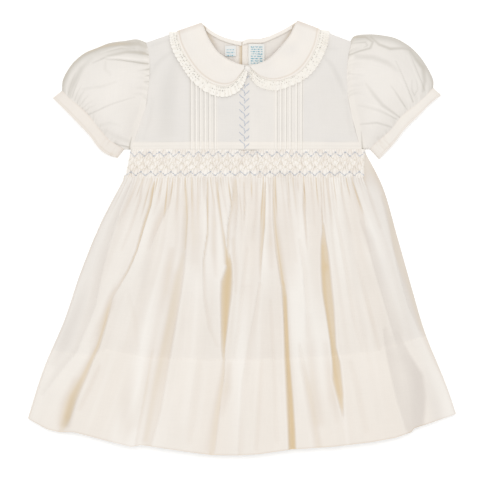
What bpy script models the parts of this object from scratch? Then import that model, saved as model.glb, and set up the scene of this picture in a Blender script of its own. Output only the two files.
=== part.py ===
"""Toddler dress in ivory cotton batiste, laid flat on its back with the neck towards +Y.

The cloth is thin walls stacked from the surface it lies on (z = 0) upwards: back collar and
buttons, back bodice and back skirt, then the front bodice, the smocked band and the front skirt,
and on top the front collar with its gathered lace. All lengths in the tables are millimetres.
"""
import math
from collections import namedtuple

import bmesh
import bpy

MM = 0.001

# --- Cloth ---------------------------------------------------------------------------------
WALL = 1.2                 # one layer of batiste with its seam allowances
HEM_WALL = 2.0             # the turned-up hem, two layers
TRIM_WALL = 1.0            # lace, labels and neck binding
GAP = 0.3                  # between pieces that touch
SEAM = 0.6                 # between pieces that meet edge to edge on a curved seam
LAYERS = 2 * WALL + GAP    # front cloth lying on back cloth

# --- Bodice --------------------------------------------------------------------------------
WAIST_Y = 98.6             # waist seam
BAND_TOP_Y = 98.2
BAND_LOW_Y = 66.0
MIDDLE_X = 5.0             # line about which the bodice rounds up
FRONT_RISE = 3.2           # how far the front stands off the back along the middle
FRONT_HALF = 122.0         # half width over which the front comes down to the back
SHOULDER_RAMP = 45.0       # distance over which it comes down to the shoulder seams
COLLAR_LIFT = WALL + GAP   # the back bodice lies on the back collar and on the buttons
LIFT_CENTRE_X = 8.5        # the raised part over the back collar is half an oval
LIFT_CENTRE_Y = 232.0
LIFT_HALF_WIDTH = 106.0
LIFT_HALF_LENGTH = 82.0
LIFT_FADE = 1.2            # it has come down at this many times the oval's size

TUCK_HALF = 1.0
TUCK_RISE = 0.8
TUCKS_LEFT = (-56.0, -51.0, -46.0, -41.0, -35.8, -29.7)
TUCKS_RIGHT = (38.1, 43.3, 48.5, 53.7, 60.6, 66.1)

LAP_LEFT_X = 13.4          # the left half reaches under the right half as far as this
LAP_RIGHT_X = 0.3
LAP_STEP_START = 15.0      # beyond the lap the right half comes down to the left one's level
LAP_STEP_END = 26.0
BUTTON_X = 6.5
BUTTON_YS = (163.0, 141.0, 119.0)
BUTTON_RADIUS = 5.0
BUTTON_SIDES = 16
BUTTON_BED = 8.0           # half width of the raised strip over the buttons
BUTTON_BED_END = 16.0

Point = namedtuple("Point", "x y")

ARMHOLE_LEFT = [
    Point(-106.4, 217.8), Point(-103.9, 209.5), Point(-103.2, 199.9), Point(-103.0, 182.0),
    Point(-105.5, 158.2), Point(-108.5, 141.5), Point(-114.2, 126.0), Point(-119.8, 109.3),
    Point(-123.2, 98.6),
]
ARMHOLE_RIGHT = [
    Point(121.0, 219.0), Point(119.7, 210.6), Point(117.7, 200.9), Point(116.5, 182.9),
    Point(118.1, 158.8), Point(121.3, 141.9), Point(125.0, 126.3), Point(129.6, 109.4),
    Point(133.3, 98.6),
]
NECK_LEFT = Point(-44.8, 239.1)
NECK_RIGHT = Point(61.6, 241.4)

# One row for each station from the shoulder seam round to the end of the collar half:
# where the collar leaves the neckline, its own outer edge, and the outer edge of its lace.
Collar = namedtuple("Collar", "neck_x neck_y edge_x edge_y lace_x lace_y")
COLLAR_FRONT_LEFT = [
    Collar(-44.8, 239.1, -72.8, 229.4, -81.0, 226.6),
    Collar(-41.5, 231.0, -70.8, 219.0, -79.6, 217.5),
    Collar(-38.1, 223.4, -66.5, 208.5, -76.0, 206.0),
    Collar(-33.5, 215.5, -58.2, 194.3, -67.5, 191.5),
    Collar(-28.0, 207.8, -47.0, 180.9, -55.5, 174.5),
    Collar(-20.5, 201.5, -33.6, 171.9, -38.5, 161.5),
    Collar(-14.6, 197.7, -20.2, 168.6, -20.2, 156.7),
    Collar(-8.0, 194.8, -9.5, 171.9, -4.5, 162.5),
    Collar(-2.2, 192.6, -2.2, 180.9, 3.2, 174.0),
    Collar(2.5, 191.7, 2.4, 187.6, 5.8, 184.5),
]
COLLAR_FRONT_RIGHT = [
    Collar(61.6, 241.4, 86.2, 232.1, 97.5, 227.9),
    Collar(57.5, 233.0, 84.8, 222.0, 96.5, 218.0),
    Collar(53.8, 225.7, 82.0, 212.0, 93.0, 207.0),
    Collar(48.5, 218.5, 75.0, 197.7, 85.5, 192.5),
    Collar(43.1, 212.2, 66.1, 186.5, 74.5, 179.5),
    Collar(35.5, 204.0, 53.8, 178.6, 59.0, 170.5),
    Collar(28.0, 197.8, 37.0, 174.6, 37.5, 163.7),
    Collar(20.5, 194.2, 23.5, 177.5, 20.0, 167.0),
    Collar(14.0, 192.4, 14.6, 183.7, 10.8, 175.5),
    Collar(9.0, 191.6, 10.2, 188.6, 8.0, 184.0),
]
COLLAR_BACK_LEFT = [
    Collar(-40.0, 235.0, -68.0, 212.0, -77.0, 208.0),
    Collar(-33.6, 230.2, -56.0, 198.0, -63.0, 188.5),
    Collar(-25.0, 226.0, -40.0, 188.0, -43.5, 176.5),
    Collar(-15.0, 221.8, -22.0, 182.5, -22.5, 170.5),
    Collar(-8.0, 219.6, -10.0, 183.0, -9.0, 171.0),
    Collar(-2.6, 219.1, -2.8, 187.0, -2.4, 175.0),
]
COLLAR_BACK_RIGHT = [
    Collar(56.0, 238.0, 82.0, 214.0, 91.0, 209.0),
    Collar(49.3, 233.5, 70.0, 199.0, 77.0, 189.5),
    Collar(37.0, 227.4, 53.0, 189.0, 57.0, 178.0),
    Collar(23.5, 223.0, 33.0, 183.5, 34.0, 172.0),
    Collar(13.0, 221.5, 17.0, 184.0, 15.0, 172.0),
    Collar(4.6, 220.5, 5.0, 188.0, 3.6, 176.0),
]
LACE_WAVE = 1.5            # height of the lace ruffle's waves
LACE_COLUMNS = 54          # two to each wave along one front half
LACE_BACK_COLUMNS = 12
COLLAR_COLUMNS = 22
COLLAR_BACK_COLUMNS = 8
WAVE_FADE = 3              # the waves grow over this many columns from the shoulder fold
WRAP_ANGLES = (60.0, 0.0, -60.0)

BACK_NECK = [
    NECK_LEFT, Point(-33.6, 230.2), Point(-20.2, 223.4), Point(-3.4, 219.0), Point(0.8, 219.0),
    Point(8.4, 221.5), Point(23.5, 222.0), Point(37.0, 227.4), Point(49.3, 233.5), NECK_RIGHT,
]
BINDING_WIDTH = 4.5

Label = namedtuple("Label", "left right low high")
SIZE_LABEL = Label(-19.0, -6.7, 202.2, 214.3)
CARE_LABEL = Label(7.3, 25.2, 188.0, 216.0)

# --- Smocked band --------------------------------------------------------------------------
BAND_LEFT_TOP = -124.3
BAND_LEFT_LOW = -131.0
BAND_RIGHT_TOP = 135.4
BAND_RIGHT_LOW = 134.2
BAND_HALF = 142.0          # half width over which the band comes down to the back
SMOCK_WAVES = 24           # diamonds across the band
SMOCK_STEPS = 4            # columns to each diamond
SMOCK_ROWS = 4
SMOCK_WALL = 1.3
SMOCK_RISE = 1.3

# --- Skirt ---------------------------------------------------------------------------------
# One row for each fold, left to right: the x of its centre line at the band, at a quarter, half
# and three quarters of the way down and at the hem; where its top and its foot lie; its width;
# and its depth at the same five stations. The side edges are rows with no depth.
Fold = namedtuple("Fold", "x0 x1 x2 x3 x4 top_y hem_y width d0 d1 d2 d3 d4")
SIDE_LEFT = Fold(-132.2, -165.2, -192.1, -218.4, -239.6, 65.6, -202.2, 0.0, 0, 0, 0, 0, 0)
SIDE_RIGHT = Fold(137.2, 168.9, 188.4, 211.7, 239.6, 97.2, -196.6, 0.0, 0, 0, 0, 0, 0)
BACK_SIDE_LEFT = Fold(-123.4, -152.0, -184.3, -213.9, -238.6, 98.2, -201.2, 0.0, 0, 0, 0, 0, 0)
BACK_SIDE_RIGHT = Fold(135.4, 166.6, 186.2, 209.5, 238.2, 98.2, -195.6, 0.0, 0, 0, 0, 0, 0)
FOLDS = [
    Fold(-126.8, -153.2, -178.5, -203.2, -229.1, 65.6, -207.5, 6.0, 1.2, 2.0, 2.5, 2.5, 1.5),
    Fold(-99.7, -119.3, -147.8, -173.6, -201.6, 65.6, -216.2, 8.0, 2.0, 4.0, 6.0, 6.0, 5.0),
    Fold(-65.0, -66.1, -79.0, -90.2, -109.8, 65.6, -231.8, 14.0, 2.0, 3.0, 4.0, 4.0, 3.5),
    Fold(-43.0, -43.4, -44.1, -49.0, -60.0, 65.6, -238.5, 7.0, 1.5, 2.0, 1.5, 0.6, 0.2),
    Fold(-27.0, -15.7, -17.9, -27.4, -34.7, 65.6, -242.4, 12.0, 2.0, 5.5, 5.5, 3.0, 4.0),
    Fold(22.0, 20.4, 16.2, 13.2, 9.0, 65.6, -242.8, 8.0, 2.5, 4.0, 1.5, 0.4, 0.2),
    Fold(37.0, 43.1, 48.7, 53.4, 54.9, 65.6, -236.3, 9.0, 3.0, 6.0, 7.0, 7.0, 6.5),
    Fold(66.0, 70.7, 74.9, 78.9, 83.8, 65.6, -234.6, 12.0, 1.5, 1.5, 1.0, 1.5, 1.0),
    Fold(88.5, 93.8, 100.6, 106.3, 113.1, 65.6, -230.2, 10.0, 3.0, 6.0, 7.0, 5.5, 1.5),
    Fold(105.3, 112.9, 127.7, 143.2, 155.0, 65.6, -226.0, 12.0, 1.0, 2.0, 2.5, 2.0, 0.8),
    Fold(121.2, 136.9, 155.6, 167.8, 182.9, 65.6, -219.8, 12.0, 1.5, 4.0, 5.5, 3.0, 2.0),
    Fold(130.0, 152.0, 173.0, 188.0, 203.5, 65.6, -211.4, 12.0, 0.6, 1.0, 1.5, 3.5, 3.0),
    Fold(135.8, 165.5, 185.5, 206.6, 225.8, 65.2, -201.9, 8.0, 1.0, 2.0, 2.0, 2.0, 1.0),
]
GATHER_PITCH = 5.8         # gathers along the foot of the smocking
GATHER_DEPTH = 1.6
GATHER_END = 0.45          # how far down the skirt they reach, as a part of its length
FOLD_NECK = 3.0            # width of every fold at the band
SKIRT_ROWS = (0.0, 0.05, 0.13, 0.22, 0.33, 0.46, 0.64, 0.66, 0.8, 0.91, 1.0)
HEM_START = 0.65           # stitch line of the turned-up hem, as a part of the length
SKIRT_RISE_TOP = 3.2       # how far the front skirt stands off the back one
SKIRT_RISE = 7.0
SKIRT_RISE_FULL = 0.35     # share of the length at which it has risen fully
FOLD_FULL = 0.3            # share of the length at which a fold has its full width

BACK_RELIEF = 0.7          # gathers on the inner side of the back skirt
BACK_COLUMNS = 44
BACK_ROWS = (0.0, 0.1, 0.22, 0.36, 0.52, 0.71, 0.73, 0.85, 1.0)
BACK_HEM_START = 0.72
BACK_INSET = 1.0           # the back skirt's edges lie this far inside the front's

# --- Sleeves -------------------------------------------------------------------------------
# Each sleeve lies as a flattened tube between the armhole, its upper outline, the cuff seam and
# the short underarm seam.
Sleeve = namedtuple("Sleeve", "armhole upper cuff_seam cuff_edge outward")
SLEEVE_LEFT = Sleeve(
    ARMHOLE_LEFT,
    [Point(-106.4, 217.8), Point(-117.6, 221.8), Point(-131.0, 220.1), Point(-147.8, 217.8),
     Point(-162.4, 212.2), Point(-175.8, 206.6), Point(-187.0, 197.7), Point(-194.9, 187.6),
     Point(-200.5, 176.4), Point(-201.6, 164.1)],
    [Point(-201.6, 164.1), Point(-194.9, 157.4), Point(-172.5, 137.2), Point(-159.0, 120.4),
     Point(-147.5, 108.0), Point(-132.2, 98.6)],
    [Point(-211.7, 156.2), Point(-190.4, 135.0), Point(-170.2, 113.7), Point(-161.3, 101.4),
     Point(-152.6, 93.8), Point(-139.4, 89.0)],
    -1,
)
SLEEVE_RIGHT = Sleeve(
    ARMHOLE_RIGHT,
    [Point(121.0, 219.0), Point(126.6, 225.7), Point(143.4, 227.4), Point(160.2, 225.7),
     Point(173.6, 222.3), Point(188.2, 213.4), Point(199.4, 202.2), Point(208.3, 188.7),
     Point(213.9, 176.4), Point(213.9, 167.4)],
    [Point(213.9, 167.4), Point(205.0, 157.4), Point(190.4, 145.0), Point(177.0, 133.8),
     Point(165.8, 119.3), Point(150.0, 105.6), Point(143.4, 98.6)],
    [Point(222.9, 159.6), Point(210.6, 149.5), Point(196.0, 135.0), Point(181.4, 120.4),
     Point(171.4, 107.0), Point(160.2, 94.6), Point(153.4, 87.5)],
    1,
)
PUFF_RISE = 14.4           # how far the crown of the puff adds to the rise of its ends
PUFF_ROUND = 0.8           # below 1 the cloth rounds up more fully than a sine
HEAD_RISE = 6.0            # at the armhole
CUFF_RISE = 2.5            # at the cuff seam
SLEEVE_RIPPLE = 1.3        # gathers at the cuff, and at the sleeve head near the shoulder
RIPPLE_REACH = 0.4         # how far along the sleeve they run, as a share of its length
RIPPLE_EDGE = 0.1          # they fade out this near the folded edges
SLEEVE_TOP_COLUMNS = 30
SLEEVE_FLOOR_COLUMNS = 10
SLEEVE_ROWS = (0.0, 0.12, 0.28, 0.45, 0.62, 0.8, 1.0)
CUFF_COLUMNS = 12
CUFF_ROWS = (0.0, 0.5, 1.0)

COLOURS = {
    "batiste": (0.82, 0.78, 0.71),
    "collar": (0.86, 0.81, 0.74),
    "lace": (0.88, 0.84, 0.77),
    "smocking": (0.84, 0.80, 0.73),
    "label": (0.86, 0.88, 0.88),
    "button": (0.90, 0.88, 0.84),
}


# --- Small helpers -------------------------------------------------------------------------
def smoothstep(low, high, value):
    """0 below low, 1 above high, with a soft ramp between."""
    t = min(1.0, max(0.0, (value - low) / (high - low)))
    return t * t * (3.0 - 2.0 * t)


def mix(a, b, t):
    """Value a share t of the way from a to b."""
    return a + (b - a) * t


def spline(values, t):
    """Catmull-Rom curve through evenly spaced values (numbers), t from 0 to 1."""
    last = len(values) - 1
    place = min(max(t, 0.0), 1.0) * last
    i = min(int(place), last - 1)
    f = place - i
    p1, p2 = values[i], values[i + 1]
    p0 = values[i - 1] if i > 0 else 2 * p1 - p2
    p3 = values[i + 2] if i + 2 <= last else 2 * p2 - p1
    return 0.5 * (
        2 * p1 + (p2 - p0) * f + (2 * p0 - 5 * p1 + 4 * p2 - p3) * f * f
        + (3 * p1 - p0 - 3 * p2 + p3) * f ** 3
    )


def along(points, t):
    """Point a share t of the length along a line through points."""
    steps = [math.dist(a, b) for a, b in zip(points, points[1:])]
    target = t * sum(steps)
    for a, b, step in zip(points, points[1:], steps):
        if target <= step:
            f = target / step
            return Point(mix(a.x, b.x, f), mix(a.y, b.y, f))
        target -= step
    return points[-1]


def x_at(points, y):
    """x of a line of points at height y; the points run from high to low y."""
    for a, b in zip(points, points[1:]):
        if y >= b.y:
            return mix(b.x, a.x, min(1.0, (y - b.y) / (a.y - b.y)))
    return points[-1].x


def y_at(points, x):
    """y of a line of points at x; the points run from low to high x."""
    for a, b in zip(points, points[1:]):
        if x <= b.x:
            return mix(a.y, b.y, max(0.0, (x - a.x) / (b.x - a.x)))
    return points[-1].y


def material(name):
    """Principled material in one of the named colours."""
    made = bpy.data.materials.get(name)
    if made:
        return made
    made = bpy.data.materials.new(name)
    made.use_nodes = True
    shader = made.node_tree.nodes["Principled BSDF"]
    shader.inputs["Base Color"].default_value = (*COLOURS[name], 1.0)
    shader.inputs["Roughness"].default_value = 0.3 if name == "button" else 0.85
    shader.inputs["Metallic"].default_value = 0.0
    return made


def add_object(name, verts, faces, colour):
    """Named object from vertices in millimetres, its faces turned outwards."""
    mesh = bpy.data.meshes.new(name)
    mesh.from_pydata([(x * MM, y * MM, z * MM) for x, y, z in verts], [], faces)
    work = bmesh.new()
    work.from_mesh(mesh)
    bmesh.ops.recalc_face_normals(work, faces=work.faces)
    work.to_mesh(mesh)
    work.free()
    mesh.materials.append(material(colour))
    made = bpy.data.objects.new(name, mesh)
    bpy.context.scene.collection.objects.link(made)
    return made


def cloth(name, upper, lower, colour, closed=False):
    """Wall between two grids of points (rows of columns) with the same layout.

    A closed wall is a tube: the last column of each row meets the first.
    """
    rows, cols = len(upper), len(upper[0])
    verts = [p for row in upper for p in row] + [p for row in lower for p in row]
    under = rows * cols
    faces = []
    spans = cols if closed else cols - 1
    for r in range(rows - 1):
        for c in range(spans):
            a = r * cols + c
            b = r * cols + (c + 1) % cols
            faces.append((a, b, b + cols, a + cols))
            faces.append((under + a + cols, under + b + cols, under + b, under + a))
    for r in (0, rows - 1):
        for c in range(spans):
            a = r * cols + c
            b = r * cols + (c + 1) % cols
            faces.append((a, under + a, under + b, b))
    if not closed:
        for c in (0, cols - 1):
            for r in range(rows - 1):
                a = r * cols + c
                faces.append((a, a + cols, under + a + cols, under + a))
    return add_object(name, verts, faces, colour)


def slope_factor(row, c):
    """How much taller than the wall a height step must be so that the wall keeps its thickness."""
    slopes = []
    for a, b in ((c - 1, c), (c, c + 1)):
        if a >= 0 and b < len(row):
            run = math.dist(row[a][:2], row[b][:2])
            slopes.append(abs(row[b][2] - row[a][2]) / max(run, 0.1))
    steep = min(1.5, sum(slopes) / len(slopes))
    return math.sqrt(1.0 + steep * steep)


# --- Heights of the stacked layers ---------------------------------------------------------
def back_lift(x, y):
    """Height of the back bodice's underside: it lies on the back collar and on the buttons."""
    ring = math.hypot((x - LIFT_CENTRE_X) / LIFT_HALF_WIDTH, (y - LIFT_CENTRE_Y) / LIFT_HALF_LENGTH)
    over_collar = 1.0 - smoothstep(1.0, LIFT_FADE, ring)
    over_buttons = 1.0 - smoothstep(BUTTON_BED, BUTTON_BED_END, abs(x - BUTTON_X))
    return COLLAR_LIFT * max(over_collar, over_buttons)


def lap(x):
    """How far the right back half is raised where it lies on the left one."""
    return (WALL + GAP) * (1.0 - smoothstep(LAP_STEP_START, LAP_STEP_END, x))


def front_rise(x, y):
    """How far the front bodice stands off the back one."""
    side = min(1.0, abs(x - MIDDLE_X) / FRONT_HALF)
    if x < MIDDLE_X:
        a, b = ARMHOLE_LEFT[0], NECK_LEFT
    else:
        a, b = ARMHOLE_RIGHT[0], NECK_RIGHT
    seam_y = a.y + (b.y - a.y) * (x - a.x) / (b.x - a.x)
    return FRONT_RISE * (1.0 - side * side) * min(1.0, max(0.0, (seam_y - y) / SHOULDER_RAMP))


def front_top(x, y):
    """Height of the front bodice's face, between its tucks."""
    return LAYERS + back_lift(x, y) + front_rise(x, y)


# --- Bodice --------------------------------------------------------------------------------
BODICE_ROWS = (0.0, 0.09, 0.23, 0.36, 0.5, 0.7, 0.85, 0.93, 1.0)
SIDE_LEFT_COLUMNS = (-123.2, -108.0, -92.0, -76.0, -64.0)
SIDE_RIGHT_COLUMNS = (73.0, 84.0, 100.0, 117.0, 133.3)
CENTRE_COLUMNS = (-22.0, -14.6, -8.0, -2.2, 2.5, 6.7, 14.0, 21.0, 28.0, 33.0)
FADE_LEFT = -64.0          # columns beyond these follow the armholes
FADE_RIGHT = 73.0


def bodice_grid(columns, top_edge, height):
    """Points of a bodice panel: straight columns, bent only near the armholes."""
    left, right = ARMHOLE_LEFT[-1].x, ARMHOLE_RIGHT[-1].x
    grid = []
    for v in BODICE_ROWS:
        row = []
        for x0 in columns:
            pull_left = max(0.0, (FADE_LEFT - x0) / (FADE_LEFT - left))
            pull_right = max(0.0, (x0 - FADE_RIGHT) / (right - FADE_RIGHT))
            left_y = mix(WAIST_Y, ARMHOLE_LEFT[0].y, v)
            right_y = mix(WAIST_Y, ARMHOLE_RIGHT[0].y, v)
            shift = pull_left * (x_at(ARMHOLE_LEFT, left_y) - left)
            shift += pull_right * (x_at(ARMHOLE_RIGHT, right_y) - right)
            end = pull_left * (ARMHOLE_LEFT[0].x - left) + pull_right * (ARMHOLE_RIGHT[0].x - right)
            x = x0 + shift
            y = mix(WAIST_Y, y_at(top_edge, x0 + end), v)
            row.append((x, y, height(x, y)))
        grid.append(row)
    return grid


def lowered(grid, drop):
    """The same grid of points, lower by drop."""
    return [[(x, y, z - drop) for x, y, z in row] for row in grid]


def front_neckline():
    """Front neckline from shoulder tip to shoulder tip, low x to high x."""
    left = [Point(s.neck_x, s.neck_y) for s in COLLAR_FRONT_LEFT]
    right = [Point(s.neck_x, s.neck_y) for s in reversed(COLLAR_FRONT_RIGHT)]
    return [ARMHOLE_LEFT[0], *left, *right, ARMHOLE_RIGHT[0]]


def build_front_bodice():
    """Front bodice with its pintucks standing on the face over a plain inside."""
    ridges = TUCKS_LEFT + TUCKS_RIGHT
    feet = [x + side for x in ridges for side in (-TUCK_HALF, 0.0, TUCK_HALF)]
    columns = sorted([*SIDE_LEFT_COLUMNS, *CENTRE_COLUMNS, *SIDE_RIGHT_COLUMNS, *feet])
    face = bodice_grid(columns, front_neckline(), front_top)
    inside = lowered(face, WALL)
    tucked = [
        [(x, y, z + (TUCK_RISE if columns[c] in ridges else 0.0)) for c, (x, y, z) in enumerate(row)]
        for row in face
    ]
    cloth("bodice_front", tucked, inside, "batiste")


def build_back_bodice():
    """Two back halves, lapped at the centre back."""
    edge = [ARMHOLE_LEFT[0], *BACK_NECK, ARMHOLE_RIGHT[0]]
    left_columns = (*SIDE_LEFT_COLUMNS, -44.8, -33.6, -20.0, -9.0, -2.5, 5.0, LAP_LEFT_X)
    right_columns = (LAP_RIGHT_X, 7.5, 15.0, 18.5, 22.5, 26.0, 37.0, 49.3, 61.6, *SIDE_RIGHT_COLUMNS)

    def left_height(x, y):
        return back_lift(x, y) + WALL

    def right_height(x, y):
        return back_lift(x, y) + WALL + lap(x)

    left = bodice_grid(left_columns, edge, left_height)
    right = bodice_grid(right_columns, edge, right_height)
    cloth("bodice_back_left", left, lowered(left, WALL), "batiste")
    cloth("bodice_back_right", right, lowered(right, WALL), "batiste")


def build_neck_binding():
    """Bias binding on the inner side of the back neck, one strip on each half."""
    spans = (
        ("neck_binding_left", (-40.0, -33.6, -27.0, -20.2, -12.0, -3.4, -0.4), lambda x: 0.0),
        ("neck_binding_right", (0.8, 8.4, 15.0, 19.0, 23.5, 30.0, 37.0, 43.0, 49.3, 56.0), lap),
    )
    for name, xs, raised in spans:
        upper = []
        for inset in (0.4, BINDING_WIDTH):
            row = []
            for x in xs:
                y = y_at(BACK_NECK, x) - inset
                row.append((x, y, back_lift(x, y) + WALL + raised(x) + GAP + TRIM_WALL))
            upper.append(row)
        cloth(name, upper, lowered(upper, TRIM_WALL), "collar")


def build_labels():
    """Size label on the left back half and care label on the right one."""
    for name, label, raised in (
        ("label_size", SIZE_LABEL, lambda x: 0.0),
        ("label_care", CARE_LABEL, lap),
    ):
        upper = []
        for y in (label.low, mix(label.low, label.high, 0.5), label.high):
            row = []
            for step in range(6):
                x = mix(label.left, label.right, step / 5)
                row.append((x, y, back_lift(x, y) + WALL + raised(x) + GAP + TRIM_WALL))
            upper.append(row)
        cloth(name, upper, lowered(upper, TRIM_WALL), "label")


def build_buttons():
    """Small flat buttons on the outer side of the lapped back opening."""
    for number, y in enumerate(BUTTON_YS, start=1):
        work = bmesh.new()
        bmesh.ops.create_cone(
            work, cap_ends=True, segments=BUTTON_SIDES,
            radius1=BUTTON_RADIUS * MM, radius2=BUTTON_RADIUS * MM, depth=WALL * MM,
        )
        mesh = bpy.data.meshes.new(f"back_button_{number}")
        work.to_mesh(mesh)
        work.free()
        mesh.materials.append(material("button"))
        made = bpy.data.objects.new(mesh.name, mesh)
        made.location = (BUTTON_X * MM, y * MM, WALL / 2 * MM)
        bpy.context.scene.collection.objects.link(made)


# --- Collar and lace -----------------------------------------------------------------------
def station_at(table, t):
    """Collar row a share t of the way through a table, on smooth curves."""
    return Collar(*(spline([getattr(row, field) for row in table], t) for field in Collar._fields))


def collar_stations(front, back, front_steps, back_steps):
    """Rows from centre front to the shoulder and from the shoulder to centre back."""
    top = [station_at(front, 1.0 - i / front_steps) for i in range(front_steps + 1)]
    under = [station_at([front[0], *back], i / back_steps) for i in range(1, back_steps + 1)]
    return top, under


def wrap_strip(name, colour, wall, top, under, across, wave, outward):
    """Strip of cloth that lies on the front, folds over the shoulder and lies under the back.

    across gives the strip's points over one row, as pairs (Point, share of the ruffle's wave).
    """
    outer, inner = [], []
    for number, row in enumerate(top):
        fade = min(1.0, (len(top) - 1 - number) / WAVE_FADE)
        swing = wave * fade * (number % 2)
        outer_row, inner_row = [], []
        for p, share in across(row):
            z = front_top(p.x, p.y) + TUCK_RISE + GAP + swing * share
            outer_row.append((p.x, p.y, z + wall))
            inner_row.append((p.x, p.y, z))
        outer.append(outer_row)
        inner.append(inner_row)
    for angle in WRAP_ANGLES:
        c, s = math.cos(math.radians(angle)), math.sin(math.radians(angle))
        outer_row, inner_row = [], []
        for p, _ in across(top[-1]):
            high = front_top(p.x, p.y) + TUCK_RISE + GAP
            middle, reach = (high + WALL) / 2, (high - WALL) / 2
            for rows, width, height in (
                (outer_row, GAP + wall, reach + wall), (inner_row, GAP, reach),
            ):
                x = p.x + outward.x * width * c
                y = p.y + outward.y * width * c
                rows.append((x, y, middle + height * s))
        outer.append(outer_row)
        inner.append(inner_row)
    for row in under:
        points = [p for p, _ in across(row)]
        outer.append([(p.x, p.y, WALL - wall) for p in points])
        inner.append([(p.x, p.y, WALL) for p in points])
    cloth(name, outer, inner, colour)


def build_collar_half(side, front, back, shoulder_tip, neck):
    """One half of the Peter Pan collar with the gathered lace sewn round its edge."""
    run = math.dist(shoulder_tip, neck)
    turn = 1.0 if neck.x > shoulder_tip.x else -1.0
    outward = Point(-turn * (neck.y - shoulder_tip.y) / run, turn * (neck.x - shoulder_tip.x) / run)

    def collar_row(row):
        a = Point(row.neck_x, row.neck_y)
        b = Point(row.edge_x, row.edge_y)
        return [(Point(mix(a.x, b.x, f), mix(a.y, b.y, f)), 0.0) for f in (0.0, 0.33, 0.66, 1.0)]

    def lace_row(row):
        run_x, run_y = row.lace_x - row.edge_x, row.lace_y - row.edge_y
        start = SEAM / math.hypot(run_x, run_y)
        shares = (start, 0.5, 1.0)
        return [(Point(row.edge_x + run_x * f, row.edge_y + run_y * f), f) for f in shares]

    top, under = collar_stations(front, back, COLLAR_COLUMNS, COLLAR_BACK_COLUMNS)
    wrap_strip(f"collar_{side}", "collar", WALL, top, under, collar_row, 0.0, outward)
    top, under = collar_stations(front, back, LACE_COLUMNS, LACE_BACK_COLUMNS)
    wrap_strip(
        f"collar_lace_{side}", "lace", TRIM_WALL, top, under, lace_row, LACE_WAVE, outward,
    )


# --- Smocked band --------------------------------------------------------------------------
def band_rise(x):
    """How far the smocked band stands off the back skirt."""
    side = min(1.0, abs(x - MIDDLE_X) / BAND_HALF)
    return FRONT_RISE * (1.0 - side * side)


def build_smocked_band():
    """Pleated and stitched band: a trellis of raised diamonds over a plain inside."""
    columns = SMOCK_WAVES * SMOCK_STEPS
    floor = WALL + BACK_RELIEF + GAP
    upper, lower = [], []
    for r in range(SMOCK_ROWS + 1):
        down = r / SMOCK_ROWS
        y = mix(BAND_TOP_Y, BAND_LOW_Y, down)
        left = mix(BAND_LEFT_TOP, BAND_LEFT_LOW, down)
        right = mix(BAND_RIGHT_TOP, BAND_RIGHT_LOW, down)
        upper_row, lower_row = [], []
        for c in range(columns + 1):
            x = mix(left, right, c / columns)
            bump = math.cos(2 * math.pi * c / SMOCK_STEPS) * math.cos(math.pi * r / 2)
            z = floor + band_rise(x)
            lower_row.append((x, y, z))
            upper_row.append((x, y, z + SMOCK_WALL + SMOCK_RISE * (0.5 + 0.5 * bump)))
        upper.append(upper_row)
        lower.append(lower_row)
    cloth("smocked_front", upper, lower, "smocking")


# --- Skirt ---------------------------------------------------------------------------------
def fold_place(fold, v):
    """Centre of a fold a share v of the way down its length."""
    x = spline((fold.x0, fold.x1, fold.x2, fold.x3, fold.x4), v)
    return Point(x, mix(fold.top_y, fold.hem_y, v))


def fold_depth(fold, v):
    """Depth of a fold a share v of the way down."""
    return max(0.0, spline((fold.d0, fold.d1, fold.d2, fold.d3, fold.d4), v))


def back_thickness(v, start):
    """Top of the back skirt over the surface it lies on, without its gathers."""
    return HEM_WALL if v > start else WALL


def skirt_columns():
    """Columns of the front skirt as functions of v that give a point and a depth.

    Every fold has a floor column between two shoulders. Between the shoulders of neighbouring
    folds lie the small gathers, one valley and one crest each, which fade out on the way down.
    """
    anchors = [SIDE_LEFT, *FOLDS, SIDE_RIGHT]

    def half_width(fold, v):
        return 0.5 * mix(min(FOLD_NECK, fold.width), fold.width, smoothstep(0.0, FOLD_FULL, v))

    def edge_of(fold, side):
        def column(v):
            p = fold_place(fold, v)
            return Point(p.x + side * half_width(fold, v), p.y), 0.0
        return column

    def floor_of(fold):
        return lambda v: (fold_place(fold, v), fold_depth(fold, v))

    def between(a, b, share, is_valley):
        def column(v):
            start, _ = edge_of(a, 1)(v)
            end, _ = edge_of(b, -1)(v)
            depth = GATHER_DEPTH * (1.0 - smoothstep(0.0, GATHER_END, v)) if is_valley else 0.0
            return Point(mix(start.x, end.x, share), mix(start.y, end.y, share)), depth
        return column

    columns = [lambda v: (fold_place(SIDE_LEFT, v), 0.0)]
    for a, b in zip(anchors, anchors[1:]):
        if a.width:
            columns += [edge_of(a, -1), floor_of(a), edge_of(a, 1)]
        room = abs(b.x0 - a.x0) - FOLD_NECK
        gathers = max(1, round(room / GATHER_PITCH))
        inner = 2 * gathers - 1
        for i in range(1, inner + 1):
            columns.append(between(a, b, i / (inner + 1), i % 2 == 1))
    columns.append(lambda v: (fold_place(SIDE_RIGHT, v), 0.0))
    return columns


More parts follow.
